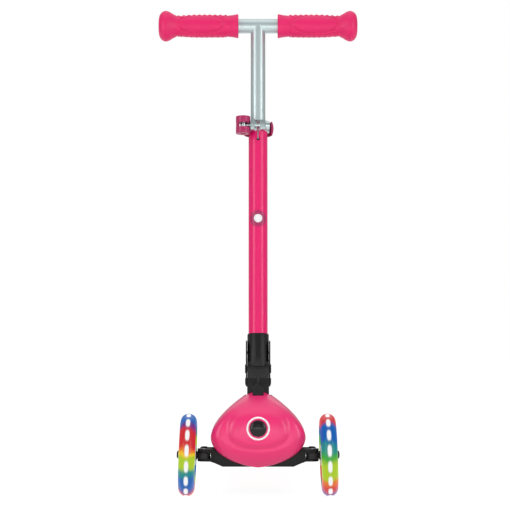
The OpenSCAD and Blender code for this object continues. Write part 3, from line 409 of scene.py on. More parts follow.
def repeated(places, shape_mesh, finish, size=1.0):
    """places is a list of (point, facing, side) in metres"""
    base = bpy.data.meshes.new("places")
    base.from_pydata([tuple(p[0]) for p in places], [], [])
    for label, index in (("facing", 1), ("side", 2)):
        values = base.attributes.new(label, "FLOAT_VECTOR", "POINT")
        for item, place in zip(values.data, places):
            item.vector = tuple(place[index])
    shape = bpy.data.objects.new("shape to repeat", shape_mesh)
    bpy.context.scene.collection.objects.link(shape)
    mesh = grow(base, repeat_tree(), {"Shape": shape, "Size": size, "Finish": finish})
    bpy.data.objects.remove(shape)
    return mesh


def thickened(sheet, wall):
    """A sheet given a wall on its inner side"""
    carrier = bpy.data.objects.new("carrier", sheet)
    bpy.context.scene.collection.objects.link(carrier)
    modifier = carrier.modifiers.new("wall", "SOLIDIFY")
    modifier.thickness = wall
    modifier.offset = -1.0
    bpy.context.view_layer.update()
    made = bpy.data.meshes.new_from_object(carrier.evaluated_get(bpy.context.evaluated_depsgraph_get()))
    bpy.data.objects.remove(carrier)
    return made


# ---------------------------------------------------------------- finishes


def linear(shown):
    return tuple(c / 12.92 if c <= 0.04045 else ((c + 0.055) / 1.055) ** 2.4 for c in shown) + (1.0,)


def moulded(
    name,
    shown,
    rough=0.4,
    metal=0.0,
    coat=0.0,
    coat_rough=0.08,
    mottling=0.03,
    mottle_scale=45.0,
    grain_scale=900.0,
    grain_depth=0.00005,
    grain_strength=0.25,
    stretch=(1.0, 1.0, 1.0),
    turn=(0.0, 0.0, 0.0),
    rough_spread=0.05,
    sheen=0.0,
    painted_edge_highlight=0.0,
    gloss=0.5,
):
    """A finish with slight colour mottling, a fine grain, uneven gloss and, when asked, a painted highlight on its
    sharp convex edges
    """
    if name in bpy.data.materials:
        return bpy.data.materials[name]
    material = bpy.data.materials.new(name)
    material.use_nodes = True
    n, link = material.node_tree.nodes, material.node_tree.links.new
    shader = n["Principled BSDF"]
    shader.inputs["Metallic"].default_value = metal
    shader.inputs["Coat Weight"].default_value = coat
    shader.inputs["Coat Roughness"].default_value = coat_rough
    shader.inputs["Sheen Weight"].default_value = sheen
    shader.inputs["Specular IOR Level"].default_value = gloss
    place = n.new("ShaderNodeTexCoord")
    mapping = n.new("ShaderNodeMapping")
    mapping.inputs["Scale"].default_value = stretch
    mapping.inputs["Rotation"].default_value = turn
    link(place.outputs["Object"], mapping.inputs["Vector"])
    mottle = n.new("ShaderNodeTexNoise")
    mottle.inputs["Scale"].default_value = mottle_scale
    mottle.inputs["Detail"].default_value = 4
    link(mapping.outputs["Vector"], mottle.inputs["Vector"])
    ramp = n.new("ShaderNodeValToRGB")
    base = linear(shown)
    ramp.color_ramp.elements[0].position = 0.3
    ramp.color_ramp.elements[1].position = 0.7
    ramp.color_ramp.elements[0].color = tuple(c * (1 - mottling) for c in base[:3]) + (1,)
    ramp.color_ramp.elements[1].color = tuple(min(1, c * (1 + mottling)) for c in base[:3]) + (1,)
    link(mottle.outputs["Fac"], ramp.inputs["Fac"])
    tint = ramp.outputs["Color"]
    # painted highlight: sharp convex edges, found by pointiness, are given a lighter colour as if they caught the
    # light
    if painted_edge_highlight > 0:
        edge = n.new("ShaderNodeNewGeometry")
        pick = n.new("ShaderNodeMapRange")
        pick.inputs["From Min"].default_value = 0.52
        pick.inputs["From Max"].default_value = 0.62
        pick.inputs["To Max"].default_value = painted_edge_highlight
        link(edge.outputs["Pointiness"], pick.inputs["Value"])
        edge_highlight_mix = n.new("ShaderNodeMix")
        edge_highlight_mix.data_type = "RGBA"
        edge_highlight_mix.inputs[7].default_value = tuple(min(1, c * 1.6 + 0.03) for c in base[:3]) + (1,)
        link(pick.outputs["Result"], edge_highlight_mix.inputs[0])
        link(tint, edge_highlight_mix.inputs[6])
        tint = edge_highlight_mix.outputs[2]
    link(tint, shader.inputs["Base Color"])
    grain = n.new("ShaderNodeTexNoise")
    grain.inputs["Scale"].default_value = grain_scale
    grain.inputs["Detail"].default_value = 3
    link(mapping.outputs["Vector"], grain.inputs["Vector"])
    spread = n.new("ShaderNodeMapRange")
    spread.inputs["To Min"].default_value = max(0.02, rough - rough_spread)
    spread.inputs["To Max"].default_value = min(1.0, rough + rough_spread)
    link(grain.outputs["Fac"], spread.inputs["Value"])
    link(spread.outputs["Result"], shader.inputs["Roughness"])
    bump = n.new("ShaderNodeBump")
    bump.inputs["Strength"].default_value = grain_strength
    bump.inputs["Distance"].default_value = grain_depth
    link(grain.outputs["Fac"], bump.inputs["Height"])
    link(bump.outputs["Normal"], shader.inputs["Normal"])
    return material


def finishes():
    """Every finish of the scooter by name"""
    c = bpy.context.scene.scooter_colours
    steep = (BAR_SLOPE, 0.0, 0.0)
    return {
        "cover": moulded(
            "pink moulded cover", c.cover_pink,
            rough=0.34, mottling=0.015, grain_scale=700, grain_depth=0.00001, grain_strength=0.08,
            coat=0.3, coat_rough=0.3,
        ),
        "tube": moulded(
            "pink powder coat", c.tube_pink,
            rough=0.3, mottling=0.012, grain_scale=420, grain_depth=0.00001, grain_strength=0.05,
        ),
        "grip": moulded(
            "pink grip rubber", c.grip_pink,
            rough=0.48, mottling=0.03, grain_scale=1400, grain_depth=0.00004, grain_strength=0.2,
        ),
        "lever": moulded(
            "deep pink moulding", c.lever_pink,
            rough=0.38, mottling=0.03, grain_scale=1200, grain_depth=0.00003, grain_strength=0.2,
        ),
        "plastic": moulded(
            "black grained plastic", c.plastic_black,
            rough=0.42, mottling=0.08, grain_scale=1500, grain_depth=0.00005, grain_strength=0.35,
            # painted highlight on the sharp edges
            painted_edge_highlight=0.12, gloss=0.3,
        ),
        "button": moulded(
            "black satin button", c.plastic_black,
            rough=0.22, mottling=0.05, grain_scale=600, grain_depth=0.00002, grain_strength=0.1,
            gloss=0.35,
        ),
        "metal": moulded(
            "black powder coat", c.metal_black,
            rough=0.45, mottling=0.06, grain_scale=900, grain_depth=0.00006, grain_strength=0.4,
            # painted highlight on the sharp edges
            painted_edge_highlight=0.12, gloss=0.25,
        ),
        "silver": moulded(
            "satin anodised tube", c.bar_silver,
            rough=0.42, metal=0.85, mottling=0.02, grain_scale=260, grain_depth=0.00001,
            grain_strength=0.08, stretch=(9, 9, 0.25), turn=steep, rough_spread=0.06,
        ),
        "silver_bar": moulded(
            "satin anodised crossbar", c.bar_silver,
            rough=0.42, metal=0.85, mottling=0.02, grain_scale=260, grain_depth=0.00001,
            grain_strength=0.08, stretch=(0.25, 9, 9), rough_spread=0.06,
        ),
        "cast": moulded(
            "brushed cast clamp", c.bar_silver,
            rough=0.28, metal=1.0, mottling=0.04, grain_scale=800, grain_depth=0.00003,
            grain_strength=0.2, rough_spread=0.08,
        ),
        "steel": moulded(
            "zinc plated steel", c.steel,
            rough=0.32, metal=1.0, mottling=0.05, grain_scale=500, grain_depth=0.00003,
            grain_strength=0.2, rough_spread=0.1,
        ),
        "white": moulded(
            "smooth white plastic", c.white,
            rough=0.3, mottling=0.01, grain_scale=900, grain_depth=0.00002, grain_strength=0.1,
        ),
        "rim": moulded(
            "pearl white rim", (0.93, 0.93, 0.95),
            rough=0.3, mottling=0.02, grain_scale=900, grain_depth=0.00002, grain_strength=0.15,
            coat=0.2,
        ),
        "milky": moulded(
            "milky cast tyre", (0.90, 0.90, 0.92),
            rough=0.3, mottling=0.03, mottle_scale=60, grain_scale=600, grain_depth=0.00003,
            grain_strength=0.15, coat=0.3,
        ),
        "mat": moulded(
            "ribbed mat rubber", c.mat_black,
            rough=0.72, mottling=0.1, grain_scale=1600, grain_depth=0.0001, grain_strength=0.5,
            sheen=0.1,
        ),
        "rubber": moulded(
            "black rubber", c.mat_black,
            rough=0.65, mottling=0.08, grain_scale=1200, grain_depth=0.00006, grain_strength=0.35,
        ),
    }


def glowing_tyre(name, centre, axis, stops):
    """Clear tyre lit from inside: coloured zones round the wheel and bright spots over the lamps"""
    look = bpy.context.scene.scooter_wheel
    material = bpy.data.materials.new(name)
    material.use_nodes = True
    n, link = material.node_tree.nodes, material.node_tree.links.new
    shader = n["Principled BSDF"]
    shader.inputs["Roughness"].default_value = 0.32
    shader.inputs["Coat Weight"].default_value = 0.1
    shader.inputs["Coat Roughness"].default_value = 0.1
    shader.inputs["Emission Strength"].default_value = look.glow
    shader.inputs["Specular IOR Level"].default_value = 0.2

    def math_node(kind, a, b=None, c=None):
        node = n.new("ShaderNodeMath")
        node.operation = kind
        for k, value in enumerate((a, b, c)):
            if value is None:
                continue
            if isinstance(value, (int, float)):
                node.inputs[k].default_value = value
            else:
                link(value, node.inputs[k])
        return node.outputs[0]

    place = n.new("ShaderNodeTexCoord")
    mapping = n.new("ShaderNodeMapping")
    mapping.vector_type = "TEXTURE"
    mapping.inputs["Location"].default_value = centre
    mapping.inputs["Rotation"].default_value = (0, -math.atan2(axis[2], axis[0]), 0)
    link(place.outputs["Object"], mapping.inputs["Vector"])
    split = n.new("ShaderNodeSeparateXYZ")
    link(mapping.outputs["Vector"], split.inputs[0])
    x, y, z = split.outputs
    round_angle = math_node("ARCTAN2", z, math_node("MULTIPLY", y, -1.0))
    turn = math_node("ADD", math_node("DIVIDE", round_angle, 2 * math.pi), 0.5)
    wobble = n.new("ShaderNodeTexNoise")
    wobble.inputs["Scale"].default_value = 55.0
    link(mapping.outputs["Vector"], wobble.inputs["Vector"])
    drift = math_node("MULTIPLY", math_node("SUBTRACT", wobble.outputs["Fac"], 0.5), 0.05)
    ramp = n.new("ShaderNodeValToRGB")
    ramp.color_ramp.interpolation = "EASE"
    elements = ramp.color_ramp.elements
    while len(elements) > 1:
        elements.remove(elements[-1])
    for k, (degrees, shown) in enumerate(stops):
        at = degrees / 360 + 0.5
        item = elements[0] if k == 0 else elements.new(at)
        item.position = at
        item.color = linear(tuple(v / 255 for v in shown))
    link(math_node("ADD", turn, drift), ramp.inputs["Fac"])
    # distance from the nearest lamp, 1 at its edge
    step = math_node("MULTIPLY", turn, float(look.lamp_count))
    off = math_node("SUBTRACT", math_node("FRACT", step), 0.5)
    radius = math_node("SQRT", math_node("ADD", math_node("MULTIPLY", y, y), math_node("MULTIPLY", z, z)))
    arc = math_node("MULTIPLY", math_node("MULTIPLY", off, radius), 2 * math.pi / look.lamp_count)
    far_along = math_node("POWER", math_node("ABSOLUTE", math_node("DIVIDE", arc, look.lamp_length / 2)), 2.6)
    far_across = math_node("POWER", math_node("ABSOLUTE", math_node("DIVIDE", x, look.lamp_width / 2)), 2.6)
    far = math_node("ADD", far_along, far_across)
    core = n.new("ShaderNodeMapRange")
    core.interpolation_type = "SMOOTHSTEP"
    core.inputs["From Min"].default_value = 0.75
    core.inputs["From Max"].default_value = 1.9
    core.inputs["To Min"].default_value = 1.0
    core.inputs["To Max"].default_value = 0.0
    link(far, core.inputs["Value"])
    halo = n.new("ShaderNodeMapRange")
    halo.interpolation_type = "SMOOTHSTEP"
    halo.inputs["From Min"].default_value = 1.0
    halo.inputs["From Max"].default_value = 3.2
    halo.inputs["To Min"].default_value = 0.3
    halo.inputs["To Max"].default_value = 0.0
    link(far, halo.inputs["Value"])
    white = n.new("ShaderNodeMix")
    white.data_type = "RGBA"
    white.inputs[7].default_value = (1, 1, 1, 1)
    link(math_node("MAXIMUM", core.outputs[0], halo.outputs[0]), white.inputs[0])
    link(ramp.outputs["Color"], white.inputs[6])
    link(white.outputs[2], shader.inputs["Emission Color"])
    deep = n.new("ShaderNodeMix")
    deep.data_type = "RGBA"
    deep.blend_type = "MULTIPLY"
    deep.inputs[0].default_value = 1.0
    deep.inputs[7].default_value = (0.06, 0.06, 0.06, 1)
    link(white.outputs[2], deep.inputs[6])
    link(deep.outputs[2], shader.inputs["Base Color"])
    return material


# ---------------------------------------------------------------- covers, in millimetres from the front axle

NOSE_LOW, NOSE_WIDE, NOSE_TOP, NOSE_HALF = 43.5, 87.5, 152.0, 69.5
NOSE_FACE_Y, NOSE_FACE_Z, NOSE_BACK_Y, SPLIT_Y = -36.0, 92.0, -12.5, 20.0
NECK_TOP, NECK_LOW, NECK_END_Y, NECK_BACK_Y = 146.0, 71.5, 150.0, 68.0


def nose_half_width(z):
    if z >= NOSE_WIDE:
        return NOSE_HALF * (1 - 0.837 * ((z - NOSE_WIDE) / (NOSE_TOP - NOSE_WIDE)) ** 1.7)
    return NOSE_HALF * max(0.0001, 1 - ((NOSE_WIDE - z) / (NOSE_WIDE - NOSE_LOW)) ** 2) ** 0.62


def nose_front(z):
    if z >= NOSE_FACE_Z:
        return NOSE_FACE_Y + 54 * ((z - NOSE_FACE_Z) / 60) ** 3
    return NOSE_FACE_Y + 21 * ((NOSE_FACE_Z - z) / (NOSE_FACE_Z - NOSE_LOW)) ** 2.5


def nose_depth(z):
    return NOSE_BACK_Y - NOSE_FACE_Y if z >= NOSE_FACE_Z else NOSE_BACK_Y - nose_front(z)


def nose_dent(x, z):
    """Depth of the soft crease round the raised face"""
    look = bpy.context.scene.scooter_cover
    half = look.plateau_half_width / MM
    tall = 27.0 if z < 99 else 34.0
    reach = ((abs(x) / half) ** 2.3 + (abs(z - 99) / tall) ** 2.3) ** (1 / 2.3)
    fade = min(1.0, max(0.0, (132 - z) / 22))
    ring = math.exp(-(((reach - 1.0) / 0.13) ** 2))
    step = 0.35 / (1 + math.exp(-(reach - 1.0) / 0.05))
    edge = min(1.0, max(0.0, (nose_half_width(z) - abs(x)) / 14))
    return look.crease / MM * (ring + step) * fade * edge


def nose_skin(x, z):
    w, f, d = nose_half_width(z), nose_front(z), nose_depth(z)
    return f + d - d * max(0.0, 1 - (abs(x) / w) ** 2.5) ** 0.4 + nose_dent(x, z)


def sign_power(value, power):
    return math.copysign(abs(value) ** power, value)


def place_from_axle(x, y, z):
    return (x * MM, AXLE_Y + y * MM, z * MM)


def cut_away(shape, point, normal, remove=None):
    """Cuts the sheet along a plane, in millimetres from the axle; faces whose middle passes remove() go"""
    bmesh.ops.bisect_plane(
        shape,
        geom=shape.verts[:] + shape.edges[:] + shape.faces[:],
        plane_co=place_from_axle(*point),
        plane_no=normal,
        dist=1e-7,
    )
    if remove:
        gone = [f for f in shape.faces if remove(*f.calc_center_median())]
        bmesh.ops.delete(shape, geom=gone, context="FACES")


# Half section of a ball bearing with its races and shield: [radius, outwards]
BEARING_FACE = [
    (4.0, 0.0), (4.0, 6.8), (4.2, 7.0), (5.6, 7.0), (5.8, 6.8), (5.8, 6.4), (6.2, 6.3),
    (9.2, 6.3), (9.5, 6.5), (9.5, 6.8), (9.7, 7.0), (10.8, 7.0), (11.0, 6.8), (11.0, 0.0),
]


# ---------------------------------------------------------------- operators


class SCOOTER_OT_stage(bpy.types.Operator):
    """Sets the floor, the backdrop, the soft lights and the camera"""

    bl_idname = "scooter.stage"
    bl_label = "Stage, lights and camera"

    def execute(self, context):
        look = context.scene.scooter_studio
        scene = context.scene
        scene.view_settings.view_transform = "Standard"
        camera_data = bpy.data.cameras.new("camera")
        camera_data.lens = look.lens
        camera_data.sensor_width = 36
        camera_data.clip_end = 50
        camera = bpy.data.objects.new("camera", camera_data)
        camera.location = (look.side, AXLE_Y - look.distance, look.height)
        camera.rotation_euler = (math.pi / 2, 0, 0)
        scene.collection.objects.link(camera)
        scene.camera = camera

        # a round floor, large enough that its far edge stays behind the scooter in any view
        rim = [(9.0 * math.cos(math.pi * i / 48), 9.0 * math.sin(math.pi * i / 48), 0.0) for i in range(96)]
        mesh = mesh_from(rim, [tuple(range(96))])
        floor = bpy.data.objects.new("floor", mesh)
        scene.collection.objects.link(floor)
        paper = bpy.data.materials.new("studio paper")
        paper.use_nodes = True
        n, link = paper.node_tree.nodes, paper.node_tree.links.new
        n.remove(n["Principled BSDF"])
        matt = n.new("ShaderNodeBsdfDiffuse")
        matt.inputs["Color"].default_value = (0.80, 0.80, 0.80, 1)
        thin = n.new("ShaderNodeBsdfDiffuse")
        thin.inputs["Color"].default_value = (0.20, 0.20, 0.20, 1)
        bright = n.new("ShaderNodeEmission")
        bright.inputs["Strength"].default_value = 0.94
        both = n.new("ShaderNodeAddShader")
        link(thin.outputs[0], both.inputs[0])
        link(bright.outputs[0], both.inputs[1])
        path = n.new("ShaderNodeLightPath")
        seen = n.new("ShaderNodeMath")
        seen.operation = "MAXIMUM"
        link(path.outputs["Is Camera Ray"], seen.inputs[0])
        link(path.outputs["Is Glossy Ray"], seen.inputs[1])
        pick = n.new("ShaderNodeMixShader")
        link(seen.outputs[0], pick.inputs[0])
        link(matt.outputs[0], pick.inputs[1])
        link(both.outputs[0], pick.inputs[2])
        link(pick.outputs[0], n["Material Output"].inputs["Surface"])
        mesh.materials.append(paper)

        world = bpy.data.worlds.new("studio air")
        scene.world = world
        world.use_nodes = True
        back = world.node_tree.nodes["Background"]
        back.inputs["Color"].default_value = (1, 1, 1, 1)
        n, link = world.node_tree.nodes, world.node_tree.links.new
        clear = n.new("ShaderNodeBackground")
        clear.inputs["Color"].default_value = (1, 1, 1, 1)
        clear.inputs["Strength"].default_value = 1.0
        path = n.new("ShaderNodeLightPath")
        pick = n.new("ShaderNodeMixShader")
        link(path.outputs["Is Camera Ray"], pick.inputs[0])
        link(back.outputs[0], pick.inputs[1])
        link(clear.outputs[0], pick.inputs[2])
        link(pick.outputs[0], n["World Output"].inputs["Surface"])
        back.inputs["Strength"].default_value = 0.42

        def soft_box(name, place, target, wide, tall, power):
            lamp = bpy.data.lights.new(name, "AREA")
            lamp.shape = "RECTANGLE"
            lamp.size, lamp.size_y, lamp.energy = wide, tall, power
            holder = bpy.data.objects.new(name, lamp)
            holder.location = place
            holder.rotation_euler = (Vector(target) - Vector(place)).to_track_quat("-Z", "Y").to_euler()
            scene.collection.objects.link(holder)

        middle_of = (0, AXLE_Y + 0.05, 0.36)
        soft_box("left soft box", (-2.1, AXLE_Y - 1.5, 0.7), middle_of, 0.7, 2.6, 25)
        soft_box("right soft box", (2.1, AXLE_Y - 1.5, 0.7), middle_of, 0.7, 2.6, 25)
        soft_box("front soft box", (0, AXLE_Y - 3.8, 1.3), middle_of, 2.6, 1.6, 6)
        soft_box("low soft box", (0, AXLE_Y - 2.2, 0.12), (0, AXLE_Y, 0.12), 3.0, 0.25, 9)
        soft_box("top soft box", (0, AXLE_Y + 0.1, 2.6), (0, AXLE_Y + 0.1, 0), 2.4, 2.4, 16)
        soft_box("back soft box", (0, 2.0, 1.9), middle_of, 2.4, 1.2, 9)
        return {"FINISHED"}


class SCOOTER_OT_plain_finishes(bpy.types.Operator):
    """Gives every CAD piece that stays its finish"""

    bl_idname = "scooter.plain_finishes"
    bl_label = "Finishes of the plain pieces"

    def execute(self, context):
        look = finishes()
        by_finish = {
            "silver": ["stem_tube"],
            "silver_bar": ["crossbar"],
            "tube": ["outer_tube"],
            "cover": ["deck_board", "nose_cover", "neck_cover"],
            "grip": ["grip_left", "grip_right"],
            "lever": ["clamp_lever", "guide_ring", "fold_slider"],
            "plastic": ["column_mount", "brake_fender", "stem_plug", "shim_bush", "bar_sleeve"],
            "rubber": ["centring_bumpers"],
            "metal": [
                "front_beam", "lean_block", "hinge_plate_left", "hinge_plate_right", "rear_fork",
                "knuckle_left", "knuckle_right", "tie_rod", "hinge_bolts", "axle_nut_left", "axle_nut_right",
            ],
            "cast": ["clamp_collar", "clamp_bolt"],
            "button": ["lock_button"],
            "steel": [
                "lean_shaft", "king_pins", "deck_screws", "rear_axle", "brake_pin", "brake_spring",
                "button_spring", "steering_lever", "fold_spring", "fold_lock_pin", "magnet_left",
                "magnet_right", "front_bearings_left", "front_bearings_right", "rear_bearings", "lock_plunger",
                "brake_pad",
            ],
            "white": ["button_ring", "guide_cap", "lean_bushes"],
            "rim": [
                "front_rim_left", "front_rim_right", "rear_rim", "light_ring_left", "light_ring_right",
                "front_tyre_left", "front_tyre_right",
            ],
            "milky": ["rear_tyre"],
            "mat": ["deck_mat"],
        }
        for finish, nodes in by_finish.items():
            for node in nodes:
                mesh = frame["nodes"][node].data
                mesh.materials.clear()
                mesh.materials.append(look[finish])
        return {"FINISHED"}


class SCOOTER_OT_grips(bpy.types.Operator):
    """Makes both rubber grips with their smooth pad, groove and nubs"""

    bl_idname = "scooter.grips"
    bl_label = "Grips"

    def execute(self, context):
        look = context.scene.scooter_grip
        finish = finishes()["grip"]
        long = 122.0
        stop, waist = 23.5, 15.5
        knots = [
            (0, 0), (0.42 * stop, 0.25), (0.70 * stop, 1.7), (0.88 * stop, 4.6), (0.965 * stop, 7.8), (
                stop - 0.02, 11,
            ),
            (0.975 * stop, 14), (0.90 * stop, 18), (waist + 3.2, 22), (waist + 1.2, 26.5), (waist + 0.1, 31),
            (waist + 0.8, 42), (waist + 1.5, 56), (waist + 1.6, 72), (waist + 1.4, long - 28), (
                waist + 1.0, long - 14,
            ),
            (waist + 1.7, long - 7), (waist + 2.75, long - 2.2), (waist + 2.6, long - 0.6), (waist + 1.9, long),
        ]
        line = smooth_line(knots, 190)
        pad_half = look.pad_length / MM / 2
        pad_at = look.pad_place / MM
        around = 144
        for side, node, body in ((1, "grip_left", "handlebar"), (-1, "grip_right", "handlebar")):
            low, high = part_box(node)
            end_x = high.x if side > 0 else low.x
            centre = BAR_FOOT + BAR_WAY * CROSSBAR_UP

            def spot(r, l, angle):
                # angle 0 is the front of the grip
                across = -math.cos(angle) * r
                up = math.sin(angle) * r
                ring_middle = Vector((end_x - side * l * MM, centre.y, centre.z))
                return BAR.to_3x3() @ Vector((0, across * MM, up * MM)) + ring_middle

            def pad_reach(l, angle):
                return math.sqrt(((l - pad_at) / pad_half) ** 2 + (angle / look.pad_half_angle) ** 2)

            points, faces = [], []
            for i, (r, l) in enumerate(line):
                for j in range(around):
                    angle = 2 * math.pi * j / around
                    turn = angle if angle <= math.pi else angle - 2 * math.pi
                    e = pad_reach(l, turn)
                    fade = min(1.0, max(0.0, (l - 22) / 8)) * min(1.0, max(0.0, (long - 12 - l) / 6))
                    groove = look.groove / MM * math.exp(-(((e - 1.03) / 0.055) ** 2))
                    crown = 0.35 * max(0.0, 1 - e * e)
                    lower = 0.35 / (1 + math.exp(-(e - 1.05) / 0.02)) if e < 3 else 0.35
                    ring = 0.45 * math.exp(-(((l - 105.5) / 0.9) ** 2)) + 0.35 * math.exp(-(((l - 27.5) / 0.9) ** 2))
                    points.append(spot(max(0.0, r - (groove + lower - crown) * fade - ring), l, angle))
            rows = len(line)
            for i in range(rows - 1):
                for j in range(around):
                    k = (j + 1) % around
                    faces.append((i * around + j, (i + 1) * around + j, (i + 1) * around + k, i * around + k))
            # flat inner end with the bore that the crossbar fills
            start = len(points)
            for r in (11.6, 11.12):
                for j in range(around):
                    points.append(spot(r, long if r > 11.2 else long - 1.5, 2 * math.pi * j / around))
            last = (rows - 1) * around
            for base, nxt in ((last, start), (start, start + around)):
                for j in range(around):
                    k = (j + 1) % around
                    faces.append((base + j, nxt + j, nxt + k, base + k))
            faces.append(tuple(start + around + j for j in range(around)))
            mesh = mesh_from(points, faces, outwards=True)
            add_piece(f"{node}_rubber", mesh, body, finish, [node], 50)

            places = []
            pitch = look.nub_pitch / MM
            count = int(74 / pitch)
            for row, degrees in enumerate(range(-180, 180, 24)):
                for i in range(count + 1):
                    l = 30.5 + (i + 0.5 * (row % 2)) * pitch
                    angle = math.radians(degrees + 12)
                    if l > 103 or pad_reach(l, angle) < 1.2:
                        continue
                    r = radius_at(line, l)
                    here = spot(r - 0.5, l, angle)
                    outward = spot(r + 10, l, angle) - here
                    places.append((here, outward.normalized(), Vector((1, 0, 0))))
            size, tall = look.nub_size / MM / 2, look.nub_height / MM
            nub = turned(
                [
                    (0, tall), (size * 0.42, tall * 0.93), (size * 0.78, tall * 0.62), (size, 0.0),
                    (size, -0.5), (0, -0.5),
                ],
                Matrix.Identity(4), 10,
            )
            nubs = repeated(places, nub, finish)
            add_piece(f"{node}_nubs", nubs, body, finish, [], 60)
        return {"FINISHED"}


class SCOOTER_OT_nose(bpy.types.Operator):
    """Makes the rounded nose cover with its raised face, notch and ring"""

    bl_idname = "scooter.nose"
    bl_label = "Nose cover and ring"

    def execute(self, context):
        look = context.scene.scooter_cover
        finish = finishes()
        rows, cols = 110, 150
        points, faces = [], []
        for i in range(rows + 1):
            u = i / rows
            z = NOSE_LOW + (NOSE_TOP - NOSE_LOW) * ((1 - math.cos(math.pi / 2 * u)) * 0.5 + u * 0.5)
            w, f, d = nose_half_width(z), nose_front(z), nose_depth(z)
            points.append(place_from_axle(-w, 45, z))
            for j in range(cols + 1):
                a = math.pi * (1 - j / cols)
                x = w * sign_power(math.cos(a), 0.8)
                y = f + d - d * abs(math.sin(a)) ** 0.8 + nose_dent(x, z)
                points.append(place_from_axle(x, y, z))
            points.append(place_from_axle(w, 45, z))
        wide = cols + 3
        for i in range(rows):
            for j in range(wide - 1):
                faces.append((i * wide + j, i * wide + j + 1, (i + 1) * wide + j + 1, (i + 1) * wide + j))
        sheet = mesh_from(points, faces)
        shape = bmesh.new()
        shape.from_mesh(sheet)
        split_y = SPLIT_Y - look.seam / MM
        cut_away(shape, (0, split_y, 0), (0, 1, 0), lambda x, y, z: y > AXLE_Y + split_y * MM)
        cut_away(shape, (0, 0, NECK_LOW), (0, 0, 1))
        back_y = NOSE_BACK_Y + 0.5
        cut_away(shape, (0, back_y, 0), (0, 1, 0), lambda x, y, z: z < NECK_LOW * MM and y > AXLE_Y + back_y * MM)
        notch, notch_z = 8.2, 147.0
        for side in (-1, 1):
            cut_away(shape, (side * notch, 0, 0), (1, 0, 0))
        cut_away(shape, (0, 0, notch_z), (0, 0, 1), lambda x, y, z: abs(x) < notch * MM and z > notch_z * MM)
        # round hole of the button: the faces inside go and the edge is drawn to the circle
        hole_r = 0.0122
        centre = Vector((0, 0, BUTTON_Z))
        gone = []
        for face in shape.faces:
            x, y, z = face.calc_center_median()
            if y < AXLE_Y and math.hypot(x, z - centre.z) < hole_r:
                gone.append(face)
        bmesh.ops.delete(shape, geom=gone, context="FACES")
        for v in shape.verts:
            if v.is_boundary and v.co.y < AXLE_Y:
                flat = Vector((v.co.x, 0, v.co.z)) - centre
                if flat.length < hole_r * 1.35:
                    flat = flat.normalized() * hole_r + centre
                    v.co = Vector((flat.x, AXLE_Y + nose_skin(flat.x / MM, flat.z / MM) * MM, flat.z))
        bmesh.ops.recalc_face_normals(shape, faces=shape.faces)
        front = min(shape.faces, key=lambda f: f.calc_center_median().y)
        if front.normal.y > 0:
            bmesh.ops.reverse_faces(shape, faces=shape.faces)
        shape.to_mesh(sheet)
        shape.free()
        solid = thickened(sheet, look.wall)
        add_piece("nose_shell", solid, "chassis", finish["cover"], ["nose_cover"], 45)

        # white ring that follows the skin
        ring_points, ring_faces = [], []
        segments = 120
        section = [(14.4, -0.7), (14.4, 0.12), (14.6, 0.26), (15.7, 0.32), (16.8, 0.26), (17.0, 0.12), (17.0, -0.7)]
        for i in range(segments):
            a = 2 * math.pi * i / segments
            for r, lift in section:
                x, z = r * math.cos(a), BUTTON_Z / MM + r * math.sin(a)
                ring_points.append(place_from_axle(x, nose_skin(x, z) - lift, z))
        count = len(section)
        for i in range(segments):
            k = (i + 1) % segments
            for j in range(count):
                m = (j + 1) % count
                ring_faces.append((i * count + j, k * count + j, k * count + m, i * count + m))
        ring = mesh_from(ring_points, ring_faces, outwards=True)
        add_piece("nose_ring", ring, "chassis", finish["white"], ["button_ring"], 50)
        return {"FINISHED"}


class SCOOTER_OT_neck(bpy.types.Operator):
    """Makes the neck cover that sweeps from the nose down to the deck"""

    bl_idname = "scooter.neck"
    bl_label = "Neck cover"

    def execute(self, context):
        look = context.scene.scooter_cover
        finish = finishes()
        rows, cols = 80, 110
        points, faces = [], []
        for i in range(rows + 1):
            z = NECK_TOP + (NECK_LOW - NECK_TOP) * (i / rows) ** 1.25
            w = nose_half_width(z)
            r = NECK_BACK_Y + (NECK_END_Y - NECK_BACK_Y) * ((NECK_TOP - z) / (NECK_TOP - NECK_LOW)) ** 2.4
            s = SPLIT_Y + 10
            points.append(place_from_axle(-w, SPLIT_Y, z))
            for j in range(cols + 1):
                a = math.pi * j / cols
                points.append(
                    place_from_axle(-w * sign_power(math.cos(a), 0.8), s + (r - s) * abs(math.sin(a)) ** 0.8, z),
                )
            points.append(place_from_axle(w, SPLIT_Y, z))
        wide = cols + 3
        for i in range(rows):
            for j in range(wide - 1):
                faces.append((i * wide + j, i * wide + j + 1, (i + 1) * wide + j + 1, (i + 1) * wide + j))
        sheet = mesh_from(points, faces)
        shape = bmesh.new()
        shape.from_mesh(sheet)
        half, back, floor = 18.7, 64.5, 138.0
        for side in (-1, 1):
            cut_away(shape, (side * half, 0, 0), (1, 0, 0))
        cut_away(shape, (0, 0, floor), (0, 0, 1))

        def in_bar_opening(x, y, z):
            return abs(x) < half * MM and z > floor * MM and y < AXLE_Y + back * MM

        cut_away(shape, (0, back, 0), (0, 1, 0), in_bar_opening)
        bmesh.ops.recalc_face_normals(shape, faces=shape.faces)
        rear = max(shape.faces, key=lambda f: f.calc_center_median().y)
        if rear.normal.y < 0:
            bmesh.ops.reverse_faces(shape, faces=shape.faces)
        shape.to_mesh(sheet)
        shape.free()
        solid = thickened(sheet, look.wall)
        add_piece("neck_shell", solid, "chassis", finish["cover"], ["neck_cover"], 45)
        return {"FINISHED"}


